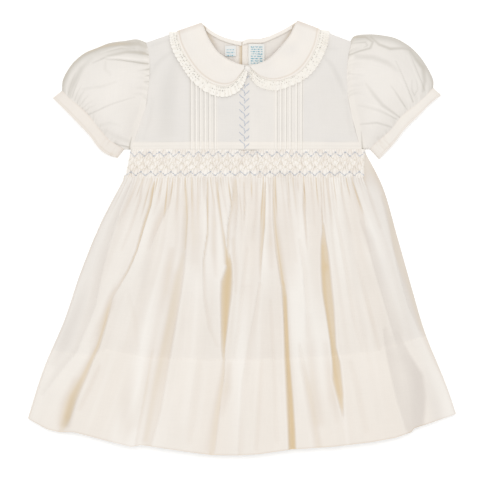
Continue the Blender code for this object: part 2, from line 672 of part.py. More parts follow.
def build_front_skirt():
    """Gathered front skirt with its folds and its deep hem."""
    columns = skirt_columns()
    upper, lower = [], []
    for v in SKIRT_ROWS:
        wall = HEM_WALL if v > HEM_START else WALL
        floor = back_thickness(v, HEM_START) + GAP
        floor += BACK_RELIEF * (1.0 - smoothstep(0.0, GATHER_END, v))
        left = fold_place(SIDE_LEFT, v).x
        right = fold_place(SIDE_RIGHT, v).x
        rise = mix(SKIRT_RISE_TOP, SKIRT_RISE, smoothstep(0.0, SKIRT_RISE_FULL, v))
        row = []
        for column in columns:
            p, depth = column(v)
            side = abs(2.0 * (p.x - left) / (right - left) - 1.0)
            level = floor + wall + rise * (1.0 - min(1.0, side) ** 4)
            row.append((p.x, p.y, max(floor + wall, level - depth)))
        upper.append(row)
        lower.append([
            (x, y, max(floor, z - wall * slope_factor(row, c))) for c, (x, y, z) in enumerate(row)
        ])
    cloth("skirt_front", upper, lower, "batiste")


def hem_y(x):
    """Height of the front hem at x."""
    ends = [Point(fold.x4, fold.hem_y) for fold in (SIDE_LEFT, *FOLDS, SIDE_RIGHT)]
    return y_at(ends, x)


def build_back_skirt():
    """Back skirt, flat on its outer side, with its gathers raised on the inner side."""
    upper = []
    for v in BACK_ROWS:
        left = fold_place(BACK_SIDE_LEFT, v)
        right = fold_place(BACK_SIDE_RIGHT, v)
        left_foot, right_foot = BACK_SIDE_LEFT.x4, BACK_SIDE_RIGHT.x4
        row = []
        for c in range(BACK_COLUMNS + 1):
            share = c / BACK_COLUMNS
            foot = hem_y(mix(left_foot, right_foot, share)) + BACK_INSET
            relief = BACK_RELIEF * (c % 2) * (1.0 - smoothstep(0.1, GATHER_END, v))
            z = back_thickness(v, BACK_HEM_START) + relief
            row.append((mix(left.x, right.x, share), mix(BACK_SIDE_LEFT.top_y, foot, v), z))
        upper.append(row)
    lower = [[(x, y, 0.0) for x, y, _ in row] for row in upper]
    cloth("skirt_back", upper, lower, "batiste")


# --- Sleeves -------------------------------------------------------------------------------
def patch(armhole, cuff, upper, under, a, s):
    """Point inside four edge curves: a runs armhole to cuff, s from the upper edge down."""
    pa, pc = along(armhole, s), along(cuff, s)
    pt, pu = along(upper, a), along(under, a)
    corners = [armhole[0], armhole[-1], cuff[0], cuff[-1]]
    weights = [(1 - a) * (1 - s), (1 - a) * s, a * (1 - s), a * s]
    x = (1 - a) * pa.x + a * pc.x + (1 - s) * pt.x + s * pu.x
    y = (1 - a) * pa.y + a * pc.y + (1 - s) * pt.y + s * pu.y
    x -= sum(w * p.x for w, p in zip(weights, corners))
    y -= sum(w * p.y for w, p in zip(weights, corners))
    return Point(x, y)


def arch(share):
    """Rounded rise from 0 at both ends to 1 in the middle."""
    return math.sin(math.pi * share) ** PUFF_ROUND if 0.0 < share < 1.0 else 0.0


def tube_ring(place, top_height, across, top_columns, floor_columns):
    """Outer and inner ring of a flattened tube: arched above, flat below."""
    inset = WALL / across
    over = [i / top_columns for i in range(top_columns + 1)]
    base = [1.0 - i / floor_columns for i in range(floor_columns + 1)]
    outer = [(*place(s), top_height(i, s)) for i, s in enumerate(over)]
    inner = []
    for i, s in enumerate(over):
        p = place(mix(inset, 1.0 - inset, s))
        drop = WALL * slope_factor(outer, i) if 0 < i < top_columns else WALL
        inner.append((p.x, p.y, max(outer[i][2] - drop, WALL + GAP)))
    outer += [(*place(s), 0.0) for s in base]
    inner += [(*place(mix(inset, 1.0 - inset, s)), WALL) for s in base]
    return outer, inner


def build_sleeve(side, sleeve):
    """Puff sleeve as a flattened tube, gathered at its head and at the cuff."""
    armhole = [Point(p.x + sleeve.outward * SEAM, p.y) for p in sleeve.armhole]
    upper = [armhole[0], *sleeve.upper[1:]]
    under = [armhole[-1], sleeve.cuff_seam[-1]]
    outer, inner = [], []
    for a in SLEEVE_ROWS:
        rise = mix(HEAD_RISE, CUFF_RISE, a) + PUFF_RISE * arch(a)
        at_cuff = SLEEVE_RIPPLE * smoothstep(RIPPLE_REACH, 1.0, a)
        at_head = SLEEVE_RIPPLE * (1.0 - smoothstep(0.0, RIPPLE_REACH, a))

        def height(i, s):
            bulge = arch(s)
            head = at_head * smoothstep(0.0, RIPPLE_EDGE, s) * (1.0 - smoothstep(0.5, 0.6, s))
            cuff = at_cuff * smoothstep(0.0, RIPPLE_EDGE, s) * smoothstep(0.0, RIPPLE_EDGE, 1.0 - s)
            ripple = head + cuff
            return max(LAYERS, LAYERS + rise * bulge - ripple * (i % 2))

        def place(s):
            return patch(armhole, sleeve.cuff_seam, upper, under, a, s)

        across = math.dist(place(0.0), place(1.0))
        ring = tube_ring(place, height, across, SLEEVE_TOP_COLUMNS, SLEEVE_FLOOR_COLUMNS)
        outer.append(ring[0])
        inner.append(ring[1])
    cloth(f"sleeve_{side}", outer, inner, "batiste", closed=True)


def build_cuff(side, sleeve):
    """Sleeve band: a flattened ring of straight cloth."""
    seam = [Point(p.x + sleeve.outward * SEAM, p.y - SEAM) for p in sleeve.cuff_seam]
    edge = sleeve.cuff_edge
    upper, under = [seam[0], edge[0]], [seam[-1], edge[-1]]
    outer, inner = [], []
    for b in CUFF_ROWS:
        def place(s):
            return patch(seam, edge, upper, under, b, s)

        def height(_, s):
            return LAYERS + CUFF_RISE * arch(s)

        across = math.dist(place(0.0), place(1.0))
        ring = tube_ring(place, height, across, CUFF_COLUMNS, CUFF_COLUMNS)
        outer.append(ring[0])
        inner.append(ring[1])
    cloth(f"cuff_{side}", outer, inner, "collar", closed=True)


def main():
    """Build every piece of the dress."""
    for old in list(bpy.data.objects):
        bpy.data.objects.remove(old, do_unlink=True)
    build_back_skirt()
    build_back_bodice()
    build_buttons()
    build_neck_binding()
    build_labels()
    build_front_bodice()
    build_smocked_band()
    build_front_skirt()
    build_collar_half("left", COLLAR_FRONT_LEFT, COLLAR_BACK_LEFT, ARMHOLE_LEFT[0], NECK_LEFT)
    build_collar_half("right", COLLAR_FRONT_RIGHT, COLLAR_BACK_RIGHT, ARMHOLE_RIGHT[0], NECK_RIGHT)
    for side, sleeve in (("left", SLEEVE_LEFT), ("right", SLEEVE_RIGHT)):
        build_sleeve(side, sleeve)
        build_cuff(side, sleeve)


main()
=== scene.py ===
"""Looks of a toddler's ivory batiste dress laid flat: thin cloth, lace, smocking and embroidery.

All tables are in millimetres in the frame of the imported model: +Z up from the surface that the
dress lies on, +Y from hem to neck and +X to the viewer's right.
"""
from __future__ import annotations

import sys

import logging
import math
from collections.abc import Callable, Sequence
from dataclasses import dataclass, field
from enum import Enum

import bpy
import numpy as np
from mathutils import Matrix, Vector
from mathutils.bvhtree import BVHTree


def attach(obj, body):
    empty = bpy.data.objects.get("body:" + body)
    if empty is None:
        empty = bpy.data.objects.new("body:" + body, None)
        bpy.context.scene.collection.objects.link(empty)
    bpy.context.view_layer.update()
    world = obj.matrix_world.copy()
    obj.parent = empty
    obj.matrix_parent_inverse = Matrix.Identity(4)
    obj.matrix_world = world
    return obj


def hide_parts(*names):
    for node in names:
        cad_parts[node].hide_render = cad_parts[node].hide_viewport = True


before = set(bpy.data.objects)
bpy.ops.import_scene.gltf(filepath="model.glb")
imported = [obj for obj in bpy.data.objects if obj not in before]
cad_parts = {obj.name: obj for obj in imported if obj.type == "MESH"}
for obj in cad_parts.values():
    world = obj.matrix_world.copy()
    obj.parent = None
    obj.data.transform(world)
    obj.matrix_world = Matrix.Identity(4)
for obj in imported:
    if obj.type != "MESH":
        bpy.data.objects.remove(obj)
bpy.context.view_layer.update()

MM = 0.001
Array = np.ndarray
Line = Sequence[tuple[float, float]]
log = logging.getLogger("dress")


# --- Small maths ---------------------------------------------------------------------------
def smooth(low: float, high: float, value: Array | float) -> Array:
    """Soft ramp.

    Args:
        low: value at and below which the ramp is 0.
        high: value at and above which it is 1.
        value: where to read it.

    Returns:
        The ramp's height, from 0 to 1.
    """
    t = np.clip((np.asarray(value, float) - low) / (high - low), 0.0, 1.0)
    return t * t * (3.0 - 2.0 * t)


def mix(a: Array | float, b: Array | float, t: Array | float) -> Array:
    """Value a share t of the way from a to b."""
    return a + (b - a) * t


def catmull(values: Sequence[float], t: Array) -> Array:
    """Catmull-Rom curve through evenly spaced numbers.

    Args:
        values: the numbers it passes through.
        t: places along it, from 0 to 1.

    Returns:
        The curve's value at each place.
    """
    v = np.asarray(values, float)
    last = len(v) - 1
    place = np.clip(t, 0.0, 1.0) * last
    i = np.minimum(place.astype(int), last - 1)
    f = place - i
    padded = np.concatenate(([2 * v[0] - v[1]], v, [2 * v[-1] - v[-2]]))
    p0, p1, p2, p3 = padded[i], padded[i + 1], padded[i + 2], padded[i + 3]
    return 0.5 * (
        2 * p1 + (p2 - p0) * f + (2 * p0 - 5 * p1 + 4 * p2 - p3) * f * f
        + (3 * p1 - p0 - 3 * p2 + p3) * f ** 3
    )


def curve(points: Line, steps: int = 160) -> Array:
    """Smooth line through points.

    Args:
        points: the points that it passes through.
        steps: how many points it gets.

    Returns:
        Its points, one to a row.
    """
    t = np.linspace(0.0, 1.0, steps)
    table = np.asarray(points, float)
    return np.stack([catmull(table[:, k], t) for k in range(table.shape[1])], axis=-1)


def travelled(line: Array) -> Array:
    """Distance along a line to each of its points."""
    steps = np.linalg.norm(np.diff(line, axis=0), axis=1)
    return np.concatenate(([0.0], np.cumsum(steps)))


def along(line: Array, t: Array) -> Array:
    """Points at shares t of a line's length.

    Args:
        line: its points, one to a row.
        t: the shares, from 0 to 1.

    Returns:
        An array shaped as t with the coordinates last.
    """
    run = travelled(line)
    return np.stack([np.interp(t, run / run[-1], line[:, k]) for k in range(line.shape[1])], axis=-1)


def across_at(line: Array, y: Array) -> Array:
    """x of a line at height y; its points run from high to low."""
    return np.interp(-y, -line[:, 1], line[:, 0])


def height_at(line: Array, x: Array) -> Array:
    """y of a line at x; its points run from low x to high x."""
    return np.interp(x, line[:, 0], line[:, 1])


def soft_noise(x: Array, y: Array, size_x: float, size_y: float, seed: int) -> Array:
    """Smooth random surface, the same at each run.

    Args:
        x: where to read it, in millimetres.
        y: where to read it, in millimetres.
        size_x: size of its swells across.
        size_y: size of its swells down.
        seed: which of the surfaces.

    Returns:
        Its height, from -1 to 1.
    """
    lattice = np.random.default_rng(seed).uniform(-1.0, 1.0, (256, 256))
    gx, gy = x / size_x + 120.0, y / size_y + 120.0
    ix, iy = np.floor(gx).astype(int), np.floor(gy).astype(int)
    fx, fy = smooth(0.0, 1.0, gx - ix), smooth(0.0, 1.0, gy - iy)
    ix, iy = ix % 255, iy % 255
    low = mix(lattice[ix, iy], lattice[ix + 1, iy], fx)
    high = mix(lattice[ix, iy + 1], lattice[ix + 1, iy + 1], fx)
    return mix(low, high, fy)


@dataclass(frozen=True)
class Swell:
    """One set of soft random swells: its size across and down, its height and its seed."""

    across: float
    down: float
    height: float
    seed: int

    def at(self, x: Array, y: Array) -> Array:
        """Height of the swells at each point."""
        return soft_noise(x, y, self.across, self.down, self.seed) * self.height


def swelling(sets: Sequence[Swell], x: Array, y: Array) -> Array:
    """Height of several sets of swells together."""
    return sum(each.at(x, y) for each in sets)


def fall(low: float, high: float, value: Array | float) -> Array:
    """Soft ramp from 1 at low down to 0 at high."""
    return 1.0 - smooth(low, high, value)


def window(value: Array | float, up: tuple[float, float], down: tuple[float, float]) -> Array:
    """Soft step that rises from 0 to 1 over one span and falls back over another."""
    return smooth(*up, value) * fall(*down, value)


def hump(value: Array | float, centre: float, half: float) -> Array:
    """Bell of height 1 over a centre."""
    return np.exp(-(((value - centre) / half) ** 2))


def hill(place: Array | float) -> Array:
    """Rounded hill, 1 at place 0 and 0 at -1 and 1."""
    return 0.5 + 0.5 * np.cos(np.pi * np.clip(place, -1.0, 1.0))


def unit(value: Array | float) -> Array:
    """Value held between 0 and 1."""
    return np.clip(value, 0.0, 1.0)


def veiled(*shades: Array | float) -> Array | float:
    """Shade of several veils that lie over each other, 1 where any of them is full."""
    return 1.0 - math.prod(1.0 - shade for shade in shades)


def rolled(share: Array) -> Array:
    """Quarter-round edge: 0 at its very edge and 1 from share 1 inwards."""
    return np.sqrt(1.0 - (1.0 - unit(share)) ** 2)


def xyz(x: Array, y: Array, z: Array) -> Array:
    """Points with their coordinates last."""
    return np.stack([x, y, z], axis=-1)


# --- Creases -------------------------------------------------------------------------------
SLOT_WALL = (0.5, 1.15)      # spans of a crease's half width over which its shape rises or falls
LEAN_SLOPE = (-1.4, 0.5)
LEAN_EDGE = (0.7, 1.1)
CROSSED = 0.3                # share of the shallower of two creases that is left where they cross
FAR = 1e9


class FoldShape(Enum):
    """Cross-section of a crease, seen down its line."""

    ROUND = "soft trough"
    SLOT = "pleat gap with a flat floor"
    LEAN_LEFT = "slopes in from the left and ends in a sharp right edge"
    LEAN_RIGHT = "slopes in from the right and ends in a sharp left edge"

    def profile(self, place: Array) -> Array:
        """How deep the crease is across its width.

        Args:
            place: -1 at its left edge, 0 on its line, 1 at its right edge.

        Returns:
            Share of its full depth.
        """
        if self is FoldShape.ROUND:
            return hill(place)
        if self is FoldShape.SLOT:
            return fall(*SLOT_WALL, np.abs(place))
        if self is FoldShape.LEAN_RIGHT:
            place = -place
        return window(place, LEAN_SLOPE, LEAN_EDGE)


@dataclass(frozen=True)
class Crease:
    """One crease: rows of x, y, width, depth and tone (painted shade) from its start to its end."""

    shape: FoldShape
    rows: tuple[tuple[float, float, float, float, float], ...]
    # Painted highlight beside a pleat gap: how far out, how wide, how bright, and below which share of the
    # gap's depth it shows.
    rim_out: float = 0.9         # the light rim beside a pleat gap
    rim_half: float = 0.7
    rim_highlight: float = 0.5
    rim_from: float = 0.35

    def press(self, x: Array, y: Array) -> tuple[Array, Array]:
        """Depth and painted shade that the crease gives each point of a cloth.

        A pleat gap gets a painted highlight along both sides, where the cloth's edge is seen against it.

        Args:
            x: the cloth's points across.
            y: the cloth's points along.

        Returns:
            Depth in millimetres and tone, both shaped as x; tone is painted shade, and below 0 painted
            highlight.
        """
        table = np.array(self.rows, float)
        reach = table[:, 2].max()
        near = np.ones(x.shape, bool)
        for k, place in enumerate((x, y)):
            near &= (place > table[:, k].min() - reach) & (place < table[:, k].max() + reach)
        px, py = x[near], y[near]
        best = np.full(px.shape, FAR)
        found = np.zeros((4, *px.shape))
        for a, b in zip(table, table[1:]):
            dx, dy = b[:2] - a[:2]
            share = unit(((px - a[0]) * dx + (py - a[1]) * dy) / (dx * dx + dy * dy))
            ox, oy = px - (a[0] + share * dx), py - (a[1] + share * dy)
            away = np.hypot(ox, oy)
            closer = away < best
            best = np.where(closer, away, best)
            side = np.where(dx * oy - dy * ox < 0.0, -1.0, 1.0)
            for k, value in enumerate((side, *(mix(a[n], b[n], share) for n in (2, 3, 4)))):
                found[k] = np.where(closer, value, found[k])
        side, width, sunk, dark = found
        shape = self.shape.profile(side * best / (0.5 * width))
        depth, tone = np.zeros(x.shape), np.zeros(x.shape)
        depth[near] = shape * sunk
        tone[near] = shape * dark
        if self.shape is FoldShape.SLOT:
            rim = hump(best - 0.5 * width, self.rim_out, self.rim_half)
            tone[near] -= self.rim_highlight * rim * dark * (shape < self.rim_from)
        return depth, tone


@dataclass(frozen=True)
class Pressed:
    """What a set of creases does to a cloth: its depth, its painted shade and its painted highlights on
    ridges.
    """

    depth: Array
    shade: Array
    light: Array


def press_all(creases: Sequence[Crease], x: Array, y: Array) -> Pressed:
    """Lay a set of creases over a cloth.

    Args:
        creases: the creases.
        x: the cloth's points across.
        y: the cloth's points along.

    Returns:
        Their depth, painted shade and painted highlight together.
    """
    depth, clear, light = np.zeros(x.shape), np.ones(x.shape), np.zeros(x.shape)
    for crease in creases:
        sunk, tone = crease.press(x, y)
        deeper = np.abs(sunk) > np.abs(depth)
        depth = np.where(deeper, sunk + CROSSED * depth, depth + CROSSED * sunk)
        clear = clear * (1.0 - unit(tone))
        light = light + unit(-tone)
    return Pressed(depth, 1.0 - clear, light)


def laid(shape: FoldShape, *rows: tuple[float, float, float, float, float]) -> Crease:
    """Crease of one cross-section through given rows."""
    return Crease(shape, rows)


ROUND, SLOT = FoldShape.ROUND, FoldShape.SLOT
LEAN_LEFT, LEAN_RIGHT = FoldShape.LEAN_LEFT, FoldShape.LEAN_RIGHT

# Every row is x, y, width, depth and tone from a crease's start to its end; tone is painted shade.
SKIRT_PLEATS = (
    laid(LEAN_LEFT, (-98, 62, 3, 1.0, 0.6), (-100, 54, 4, 1.2, 0.9), (-103, 36, 4, 1.4, 0.8),
         (-109, 17, 4, 1.6, 0.75), (-118, -15, 3, 1.4, 0.65), (-127, -36, 3, 1.2, 0.6),
         (-138, -54, 4, 1.0, 0.35), (-147, -66, 7, 1.0, 0.2), (-151, -82, 8, 1.4, 0.3),
         (-155, -98, 8, 1.6, 0.4), (-162, -121, 8, 1.6, 0.45), (-169, -135, 9, 1.6, 0.42),
         (-180, -156, 14, 1.6, 0.48), (-192, -180, 17, 1.7, 0.45), (-200, -203, 17, 1.4, 0.42),
         (-203, -212, 12, 0.6, 0.3)),
    laid(ROUND, (-149, -78, 3, 0.2, 0.2), (-152, -92, 4, 0.4, 0.45), (-161, -121, 4, 0.4, 0.45),
         (-176, -153, 8, 0.4, 0.4), (-189, -178, 12, 0.5, 0.48), (-195, -201, 13, 0.4, 0.48),
         (-197, -207, 5, 0.2, 0.1)),
    laid(LEAN_LEFT, (-64, 63, 4, 1.0, 0.45), (-66, 36, 14, 1.2, 0.35), (-69, 8, 17, 1.4, 0.3),
         (-70, -34, 14, 1.8, 0.34), (-75, -63, 16, 2.0, 0.4), (-85, -119, 16, 2.0, 0.42),
         (-90, -144, 18, 2.0, 0.4), (-99, -191, 20, 2.0, 0.36), (-108, -230, 17, 1.8, 0.34)),
    laid(ROUND, (-66, -20, 8, 0.2, 0.1), (-72, -42, 15, 0.4, 0.35), (-80, -85, 15, 0.4, 0.35),
         (-88, -121, 14, 0.4, 0.35), (-98, -170, 14, 0.4, 0.32), (-108, -225, 13, 0.3, 0.28)),
    laid(ROUND, (-63, 54, 3, 0.3, 0.5), (-61, 22, 3, 0.3, 0.55), (-63, -12, 3, 0.2, 0.3)),
    laid(LEAN_RIGHT, (-99, -127, 4, 0.4, 0.15), (-106, -170, 5, 0.7, 0.25), (-117, -232, 6, 0.8, 0.25)),
    laid(LEAN_RIGHT, (-38, 62, 3, 1.0, 0.55), (-38, 35, 3, 1.2, 0.78), (-38, 3, 3, 1.2, 0.72),
         (-42, -25, 4, 1.0, 0.45), (-41, -66, 5, 0.8, 0.22), (-35, -101, 6, 0.6, 0.15),
         (-27, -120, 6, 0.4, 0.1)),
    laid(LEAN_LEFT, (-28, 62, 3, 0.8, 0.5), (-27, 46, 3, 0.9, 0.75), (-23, 15, 4, 1.0, 0.6),
         (-19, -15, 5, 1.2, 0.72), (-18, -30, 5, 1.4, 0.8)),
    laid(LEAN_RIGHT, (-8, 62, 4, 1.0, 0.35), (-9, 43, 5, 1.2, 0.45), (-14, 13, 5, 1.4, 0.5),
         (-16, -28, 4, 1.4, 0.65)),
    laid(SLOT, (-14, -20, 3, 1.0, 0.5), (-14, -30, 7, 1.5, 0.7), (-15, -38, 10, 1.9, 0.8),
         (-17, -50, 15, 2.2, 0.8), (-18, -66, 14, 2.2, 0.8), (-19, -84, 11, 2.0, 0.8),
         (-20, -105, 8, 1.8, 0.75), (-21, -126, 5, 1.2, 0.5), (-21, -136, 2, 0.4, 0.2)),
    laid(ROUND, (-14, -24, 4, 0.2, 0.5), (-15, -40, 10, 0.6, 1.0), (-17, -56, 12, 0.6, 1.0),
         (-18, -84, 8, 0.4, 0.95), (-19, -105, 5, 0.4, 0.9), (-20, -126, 3, 0.2, 0.5)),
    laid(LEAN_LEFT, (-20, -127, 3, 0.8, 0.45), (-22, -151, 6, 1.2, 0.4), (-29, -191, 10, 1.4, 0.42),
         (-36, -236, 14, 1.6, 0.38)),
    laid(LEAN_LEFT, (25, 61, 4, 1.2, 0.5), (24, 38, 5, 1.4, 0.75), (23, 13, 6, 1.5, 0.78),
         (21, -14, 5, 1.4, 0.62), (20, -38, 3, 0.8, 0.4), (20, -56, 2, 0.1, 0.02)),
    laid(LEAN_RIGHT, (36, 62, 4, 0.8, 0.4), (37, 19, 6, 1.2, 0.42), (42, -15, 10, 1.6, 0.42),
         (45, -34, 10, 1.8, 0.48), (48, -55, 9, 2.0, 0.55), (50, -90, 8, 2.2, 0.55),
         (52, -125, 8, 2.2, 0.45), (55, -176, 8, 2.4, 0.4), (57, -238, 9, 2.6, 0.4)),
    laid(ROUND, (35, 44, 2, 0.2, 0.4), (38, 5, 3, 0.2, 0.5), (42, -25, 3, 0.3, 0.5), (46, -52, 4, 0.4, 0.6)),
    laid(SLOT, (46, -50, 3, 0.4, 0.4), (48, -66, 5, 0.5, 0.6), (49, -105, 6, 0.6, 0.65),
         (50, -135, 7, 0.6, 0.7), (53, -180, 9, 0.7, 0.72), (55, -215, 10, 0.7, 0.75),
         (56, -240, 10, 0.7, 0.75)),
    laid(ROUND, (48, -66, 4, 0.2, 0.7), (50, -105, 5, 0.3, 0.95), (51, -135, 6, 0.3, 0.95),
         (54, -180, 7, 0.4, 0.95), (56, -215, 8, 0.4, 1.0), (57, -240, 8, 0.4, 1.0)),
    laid(ROUND, (88, 62, 2, 0.6, 0.45), (89, 36, 2, 0.8, 0.5), (90, 10, 3, 1.0, 0.55)),
    laid(SLOT, (91, 15, 2, 1.0, 0.4), (91, -4, 7, 1.4, 0.7), (92, -17, 10, 1.6, 0.74),
         (93, -34, 12, 1.7, 0.76), (95, -59, 13, 1.8, 0.74), (98, -80, 11, 1.8, 0.74),
         (100, -102, 9, 1.8, 0.76), (102, -123, 7, 1.8, 0.8), (105, -140, 10, 1.8, 0.8),
         (106, -157, 12, 1.7, 0.8), (109, -174, 9, 1.5, 0.78), (111, -189, 5, 1.0, 0.6),
         (113, -202, 2, 0.4, 0.1)),
    laid(ROUND, (92, -24, 7, 0.2, 0.1), (93, -33, 11, 0.4, 0.85), (93, -42, 7, 0.2, 0.1)),
    laid(ROUND, (90, -9, 5, 0.2, 0.5), (91, -40, 7, 0.2, 0.7), (93, -72, 8, 0.2, 0.7),
         (100, -115, 6, 0.3, 0.7), (103, -145, 7, 0.3, 0.75), (108, -172, 5, 0.2, 0.6),
         (112, -191, 2, 0.1, 0.2)),
)
# Their painted shade is blue-grey instead of golden: it also turns the cloth to its sheer colour.
SKIRT_COOL_FOLDS = (
    laid(LEAN_LEFT, (-125, 61, 3, 0.8, 0.6), (-139, 31, 6, 1.4, 0.6), (-153, -8, 10, 1.6, 0.55),
         (-162, -40, 12, 1.6, 0.5), (-168, -76, 10, 1.4, 0.5), (-186, -124, 7, 1.2, 0.45),
         (-207, -150, 8, 1.0, 0.45), (-223, -173, 6, 0.6, 0.25)),
    laid(ROUND, (-63, 34, 8, 0.2, 0.4), (-64, 2, 13, 0.3, 0.6), (-65, -20, 12, 0.3, 0.45),
         (-68, -38, 8, 0.1, 0.1)),
    laid(LEAN_RIGHT, (134, 18, 6, 0.6, 0.4), (144, -2, 12, 0.9, 0.75), (155, -38, 14, 1.5, 0.65),
         (167, -80, 13, 1.5, 0.6), (175, -108, 12, 1.4, 0.55), (176, -119, 8, 0.6, 0.4)),
    laid(LEAN_RIGHT, (161, -104, 7, 0.8, 0.4), (166, -125, 13, 1.0, 0.65), (172, -150, 15, 1.2, 0.7),
         (179, -181, 14, 1.2, 0.55), (187, -212, 10, 1.2, 0.45)),
    laid(LEAN_LEFT, (171, -110, 12, 0.6, 0.4), (178, -134, 22, 1.2, 0.8), (190, -158, 28, 1.6, 1.0),
         (192, -178, 30, 1.6, 1.0), (191, -198, 29, 1.4, 1.0), (191, -217, 24, 0.8, 0.9)),
    laid(ROUND, (-180, -160, 10, 0.2, 0.2), (-188, -184, 16, 0.3, 0.7), (-196, -208, 16, 0.3, 0.9)),
    laid(ROUND, (-172, -50, 14, 0.4, 0.2), (-184, -84, 28, 0.5, 0.6), (-198, -118, 30, 0.4, 0.65),
         (-208, -140, 24, 0.3, 0.4)),
    laid(LEAN_RIGHT, (158, 45, 6, 0.8, 0.5), (168, 14, 9, 1.2, 0.75), (177, -30, 9, 1.4, 0.75),
         (190, -77, 9, 1.4, 0.7), (200, -102, 7, 0.8, 0.4)),
    laid(ROUND, (-98, 8, 8, 0.3, 0.25), (-106, -30, 16, 0.4, 0.3), (-114, -70, 14, 0.3, 0.1)),
    laid(ROUND, (205, -150, 18, 0.3, 0.2), (214, -178, 30, 0.3, 0.45), (219, -200, 28, 0.3, 0.5)),
    laid(ROUND, (112, 40, 6, 0.5, 0.15), (120, 5, 10, 0.7, 0.2), (130, -60, 12, 0.8, 0.1),
         (138, -112, 10, 0.5, 0.12)),
)
SKIRT_GATHERS = (
    laid(ROUND, (-111, 63, 3, 0.8, 0.3), (-114, 42, 5, 1.2, 0.35), (-122, 17, 6, 1.0, 0.2),
         (-134, -14, 6, 0.5, 0.1)),
    laid(ROUND, (-120, 63, 3, 0.7, 0.25), (-128, 42, 5, 0.9, 0.2), (-139, 14, 6, 0.6, 0.1)),
    laid(LEAN_LEFT, (-78, 61, 4, 0.9, 0.25), (-85, 36, 8, 1.2, 0.3), (-96, 15, 9, 1.4, 0.3),
         (-105, -10, 8, 0.8, 0.1)),
    laid(ROUND, (-90, 63, 3, 0.8, 0.3), (-93, 42, 5, 0.8, 0.2), (-99, 26, 5, 0.4, 0.1)),
    laid(ROUND, (-55, 63, 3, 0.8, 0.25), (-55, 36, 5, 0.8, 0.2), (-56, 6, 5, 0.4, 0.1)),
    laid(ROUND, (-47, 63, 3, 0.7, 0.25), (-47, 38, 3, 0.6, 0.15)),
    laid(ROUND, (-34, 63, 3, 0.8, 0.3), (-31, 39, 3, 0.9, 0.2), (-30, 11, 5, 0.5, 0.1)),
    laid(LEAN_LEFT, (-7, 63, 3, 0.9, 0.5), (-7, 36, 6, 1.2, 0.4), (-10, 6, 7, 1.2, 0.25),
         (-11, -27, 6, 0.6, 0.1)),
    laid(ROUND, (2, 62, 3, 0.7, 0.4), (3, 34, 3, 0.8, 0.5), (2, 8, 3, 0.4, 0.1)),
    laid(ROUND, (16, 61, 5, 0.8, 0.25), (16, 29, 6, 1.0, 0.2), (12, -3, 6, 0.6, 0.1)),
    laid(ROUND, (31, 59, 3, 0.8, 0.25), (31, 25, 5, 0.8, 0.2), (32, -8, 5, 0.4, 0.1)),
    laid(ROUND, (52, 62, 3, 0.9, 0.3), (53, 35, 5, 1.0, 0.2), (56, 6, 6, 0.6, 0.1),
         (60, -27, 6, 0.4, 0.1)),
    laid(ROUND, (60, 63, 3, 0.8, 0.3), (62, 35, 4, 0.8, 0.2), (63, 6, 5, 0.4, 0.1)),
    laid(SLOT, (69, 62, 2, 1.0, 0.3), (69, 36, 3, 1.4, 0.5), (71, 8, 3, 1.0, 0.35),
         (73, -14, 2, 0.5, 0.1)),
    laid(ROUND, (78, 62, 3, 0.8, 0.3), (80, 40, 3, 0.8, 0.15), (81, 13, 5, 0.4, 0.1)),
    laid(ROUND, (100, 62, 3, 0.9, 0.3), (103, 35, 6, 1.0, 0.2), (111, -7, 7, 1.1, 0.2),
         (125, -90, 8, 0.9, 0.15), (134, -126, 7, 0.5, 0.1)),
    laid(ROUND, (110, 62, 3, 0.8, 0.3), (114, 36, 5, 0.9, 0.2), (121, 6, 6, 0.6, 0.1)),
    laid(LEAN_LEFT, (123, 60, 5, 0.9, 0.3), (129, 36, 9, 1.2, 0.3), (134, 11, 9, 1.2, 0.2),
         (141, -14, 8, 0.8, 0.1)),
    laid(ROUND, (138, 60, 3, 0.8, 0.25), (146, 38, 6, 0.9, 0.2), (155, 11, 7, 0.7, 0.1)),
)
